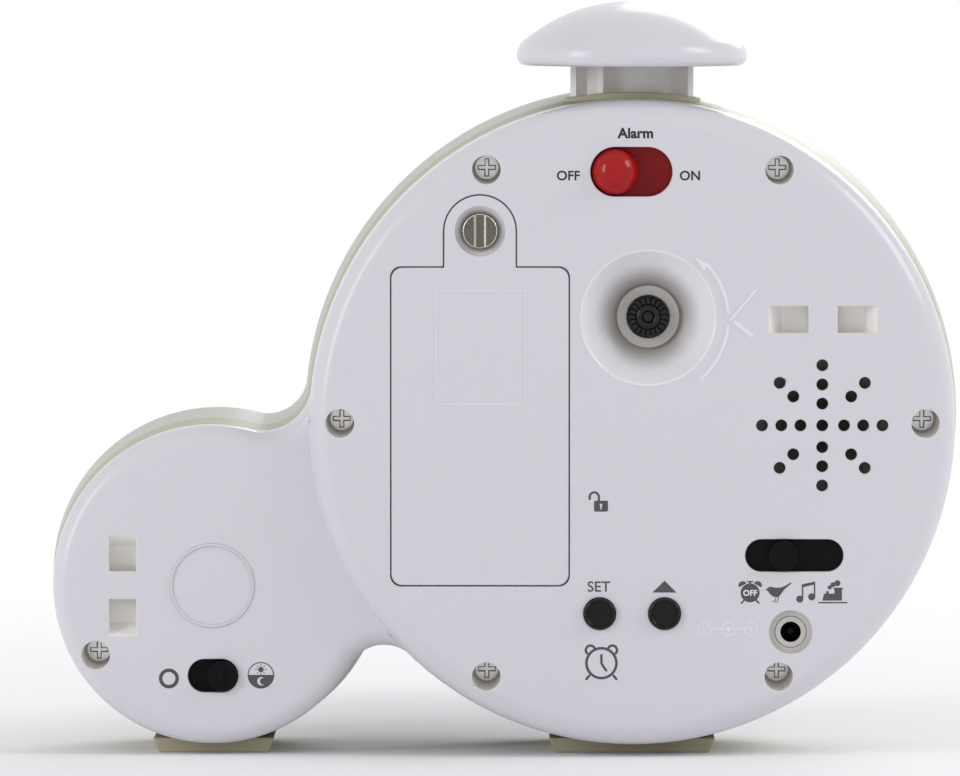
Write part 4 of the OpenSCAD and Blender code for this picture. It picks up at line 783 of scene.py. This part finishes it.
# ---- Time setting knob and movement -----------------------------------------------------
# The knob stands at the bottom of its bowl on a long arbor that drives the motion work. Its
# face has a fluted ring round a polished boss with a dimple. The movement's case and wheels
# are moulded from natural acetal, and its coil is wound from enamelled copper wire.
knob = moulding("time_setting_knob", "time_knob_moulding", 0)
belongs(knob, "knob_arbor", black_abs, ["time_setting_knob"])
knob_face = -4.4
polished_black = moulded("black ABS, bright polish", "#050506", 0.1, spread=0.05, specular=0.3)
flute_lines = []
for turn in range(0, 360, 18):
    across = math.cos(math.radians(turn))
    up = math.sin(math.radians(turn))
    flute_lines.append([stroke([(r * across, r * up) for r in (2.9, 3.65)], 0.62)])
face_at = bowl_at @ Matrix.Translation((0, 0, knob_face / 1000))
flutes = drawing("time_knob_flutes", flute_lines, face_at, 0.3)
soften(flutes, 0.12)
belongs(flutes, "knob_arbor", polished_black)
boss = turned("time_knob_boss", [(2.6, knob_face - 0.2), (2.6, knob_face + 0.1), (2.5, knob_face + 0.45),
    (2.25, knob_face + 0.8), (1.9, knob_face + 1.0), (1.6, knob_face + 1.0), (1.35, knob_face + 0.85),
    (1.2, knob_face + 0.4), (1.1, knob_face - 0.1), (0.6, knob_face - 0.15)])
settle(boss, bowl_at)
belongs(boss, "knob_arbor", polished_black)

# Acetal looks milky, the winding has a fine copper sheen, and the magnet is dull and dark.
acetal = moulded("natural acetal", "#e3ddcb", 0.35, grain=0.2, depth=0.003, spread=0.03)
dress(["movement_case", "movement_plate", "step_wheel", "second_wheel", "cannon_pinion", "motion_wheel",
    "hour_wheel", "display_holder"], acetal)
copper = metal("enamelled copper winding", "#b5652f", 0.25, grain=0.12, depth=0.03, stretch=(0.05, 0.05, 1))
dress(["movement_coil"], copper)
rotor_magnet = moulded("sintered magnet", "#3a3a3e", 0.5, grain=0.2, depth=0.01)
dress(["motor_rotor"], rotor_magnet)


# ---- Dial, hands and lens ---------------------------------------------------------------
# The dial is white styrene with printed numerals and minute marks under a clear moulded
# acrylic lens. The hands are stamped and lacquered, the second hand red.

# Matt white behind the lens, with inks and lacquers that stay clear of its reflections.
dial_white = moulded("printed white styrene", "#f1efe8", 0.5, grain=0.2, depth=0.002)
dress(["dial", "chapter_ring"], dial_white)
lacquer_blue = moulded("dark blue lacquer", "#22304e", 0.25, grain=0.4, depth=0.002)
dress(["hour_hand", "minute_hand"], lacquer_blue)
lacquer_red = moulded("red lacquer", "#b3202a", 0.25, grain=0.4, depth=0.002)
dress(["second_hand"], lacquer_red)
blue_ink = moulded("dark blue dial print", "#2b3a5c", 0.5, grain=0.2, depth=0.003, cloud=3, spread=0.04)


def on_front(lobe, y, x=0, z=0):
    """The place of a point before a depth y in m, in mm from a lobe's centre, facing forwards"""
    facing = Matrix(((1, 0, 0, lobe[0]), (0, 0, -1, y), (0, 1, 0, lobe[1]), (0, 0, 0, 1)))
    return facing @ Matrix.Translation((x / 1000, z / 1000, 0))


dial_face = -0.01605
numeral_ring_r = 38.5
numeral_h = 8
for hour in range(1, 13):
    turn = math.radians(90 - 30 * hour)
    x = numeral_ring_r * math.cos(turn)
    z = numeral_ring_r * math.sin(turn) - numeral_h / 2
    place = on_front(big_lobe, dial_face, x, z)
    numeral = lettering("dial_numeral_%d" % hour, str(hour), numeral_h, place, weight=0.12)
    belongs(numeral, "case", blue_ink)
ticks = []
for minute in range(60):
    turn = math.radians(6 * minute)
    inner, width = (46.8, 1.3) if minute % 5 == 0 else (48.4, 0.5)
    ticks.append([stroke([(r * math.cos(turn), r * math.sin(turn)) for r in (inner, 50.2)], width)])
minute_marks = drawing("dial_minute_marks", ticks, on_front(big_lobe, dial_face))
belongs(minute_marks, "case", blue_ink)


def clear_plastic(name, tint, roughness):
    """A clear moulding, with the soft waves of its mould"""
    material = moulded(name, tint, roughness, grain=12, depth=0.01, spread=0.01, ior=1.49)
    material.node_tree.nodes["Principled BSDF"].inputs["Transmission Weight"].default_value = 1
    return material


dress(["clock_lens"], clear_plastic("clear moulded acrylic", "#f7fafa", 0.02))


# ---- Night light and display ------------------------------------------------------------
# Behind a milky acrylic window a white reflector spreads the light of the warm white lamps.
# The window holds a small reflective display for the alarm time.
# Light sinks into the milky window, so that its edges look soft.
milky = moulded("milky warm white acrylic", "#f1e6c4", 0.3, grain=0.4, depth=0.004)
shader = milky.node_tree.nodes["Principled BSDF"]
shader.inputs["Subsurface Weight"].default_value = 0.6
shader.inputs["Subsurface Radius"].default_value = (0.004, 0.0035, 0.0025)
dress(["light_diffuser"], milky)
dress(["light_reflector"], moulded("glossy white polystyrene", "#efeff0", 0.25))
dress(["led_board"], moulded("white solder mask", "#e9e9e6", 0.3, grain=1.5, depth=0.02, cloud=4))
dress(["leds"], moulded("yellow phosphor epoxy", "#f2d97c", 0.2, grain=0.3))
# The display is a still grey green under dark segments.
lcd = moulded("reflective display glass", "#9aa48c", 0.12, grain=0.5, depth=0.001)
dress(["display_module"], lcd)
segment_ink = moulded("dark display segments", "#22261f", 0.3, grain=0.3, depth=0.001)
segments = {"a": ((0, 4), (2, 4)), "b": ((2, 4), (2, 2)), "c": ((2, 2), (2, 0)), "d": ((0, 0), (2, 0)),
    "e": ((0, 2), (0, 0)), "f": ((0, 4), (0, 2)), "g": ((0, 2), (2, 2))}
digits = {"7": "abc", "0": "abcdef", "3": "abcdg"}
display_place = on_front(small_lobe, -0.02315, -9.2, -4.2)
unit = 1.65
lit = []
for x, digit in ((3.6, "7"), (9.4, "3"), (14.2, "0")):
    for bar in digits[digit]:
        (x0, y0), (x1, y1) = segments[bar]
        # A bar stops short of the corners where it meets the next one.
        dx = 0.12 if x1 > x0 else 0
        dy = 0.12 if y0 > y1 else 0
        ends = [(x + unit * (x0 + dx), unit * (y0 - dy)), (x + unit * (x1 - dx), unit * (y1 + dy))]
        lit.append([stroke(ends, 0.62)])
for y in (2.0, 4.6):
    lit.append([arc(8.2, y, 0.42, 0, 360, 16)])
time_digits = drawing("display_digits", lit, display_place, 0.015)
belongs(time_digits, "case", segment_ink)
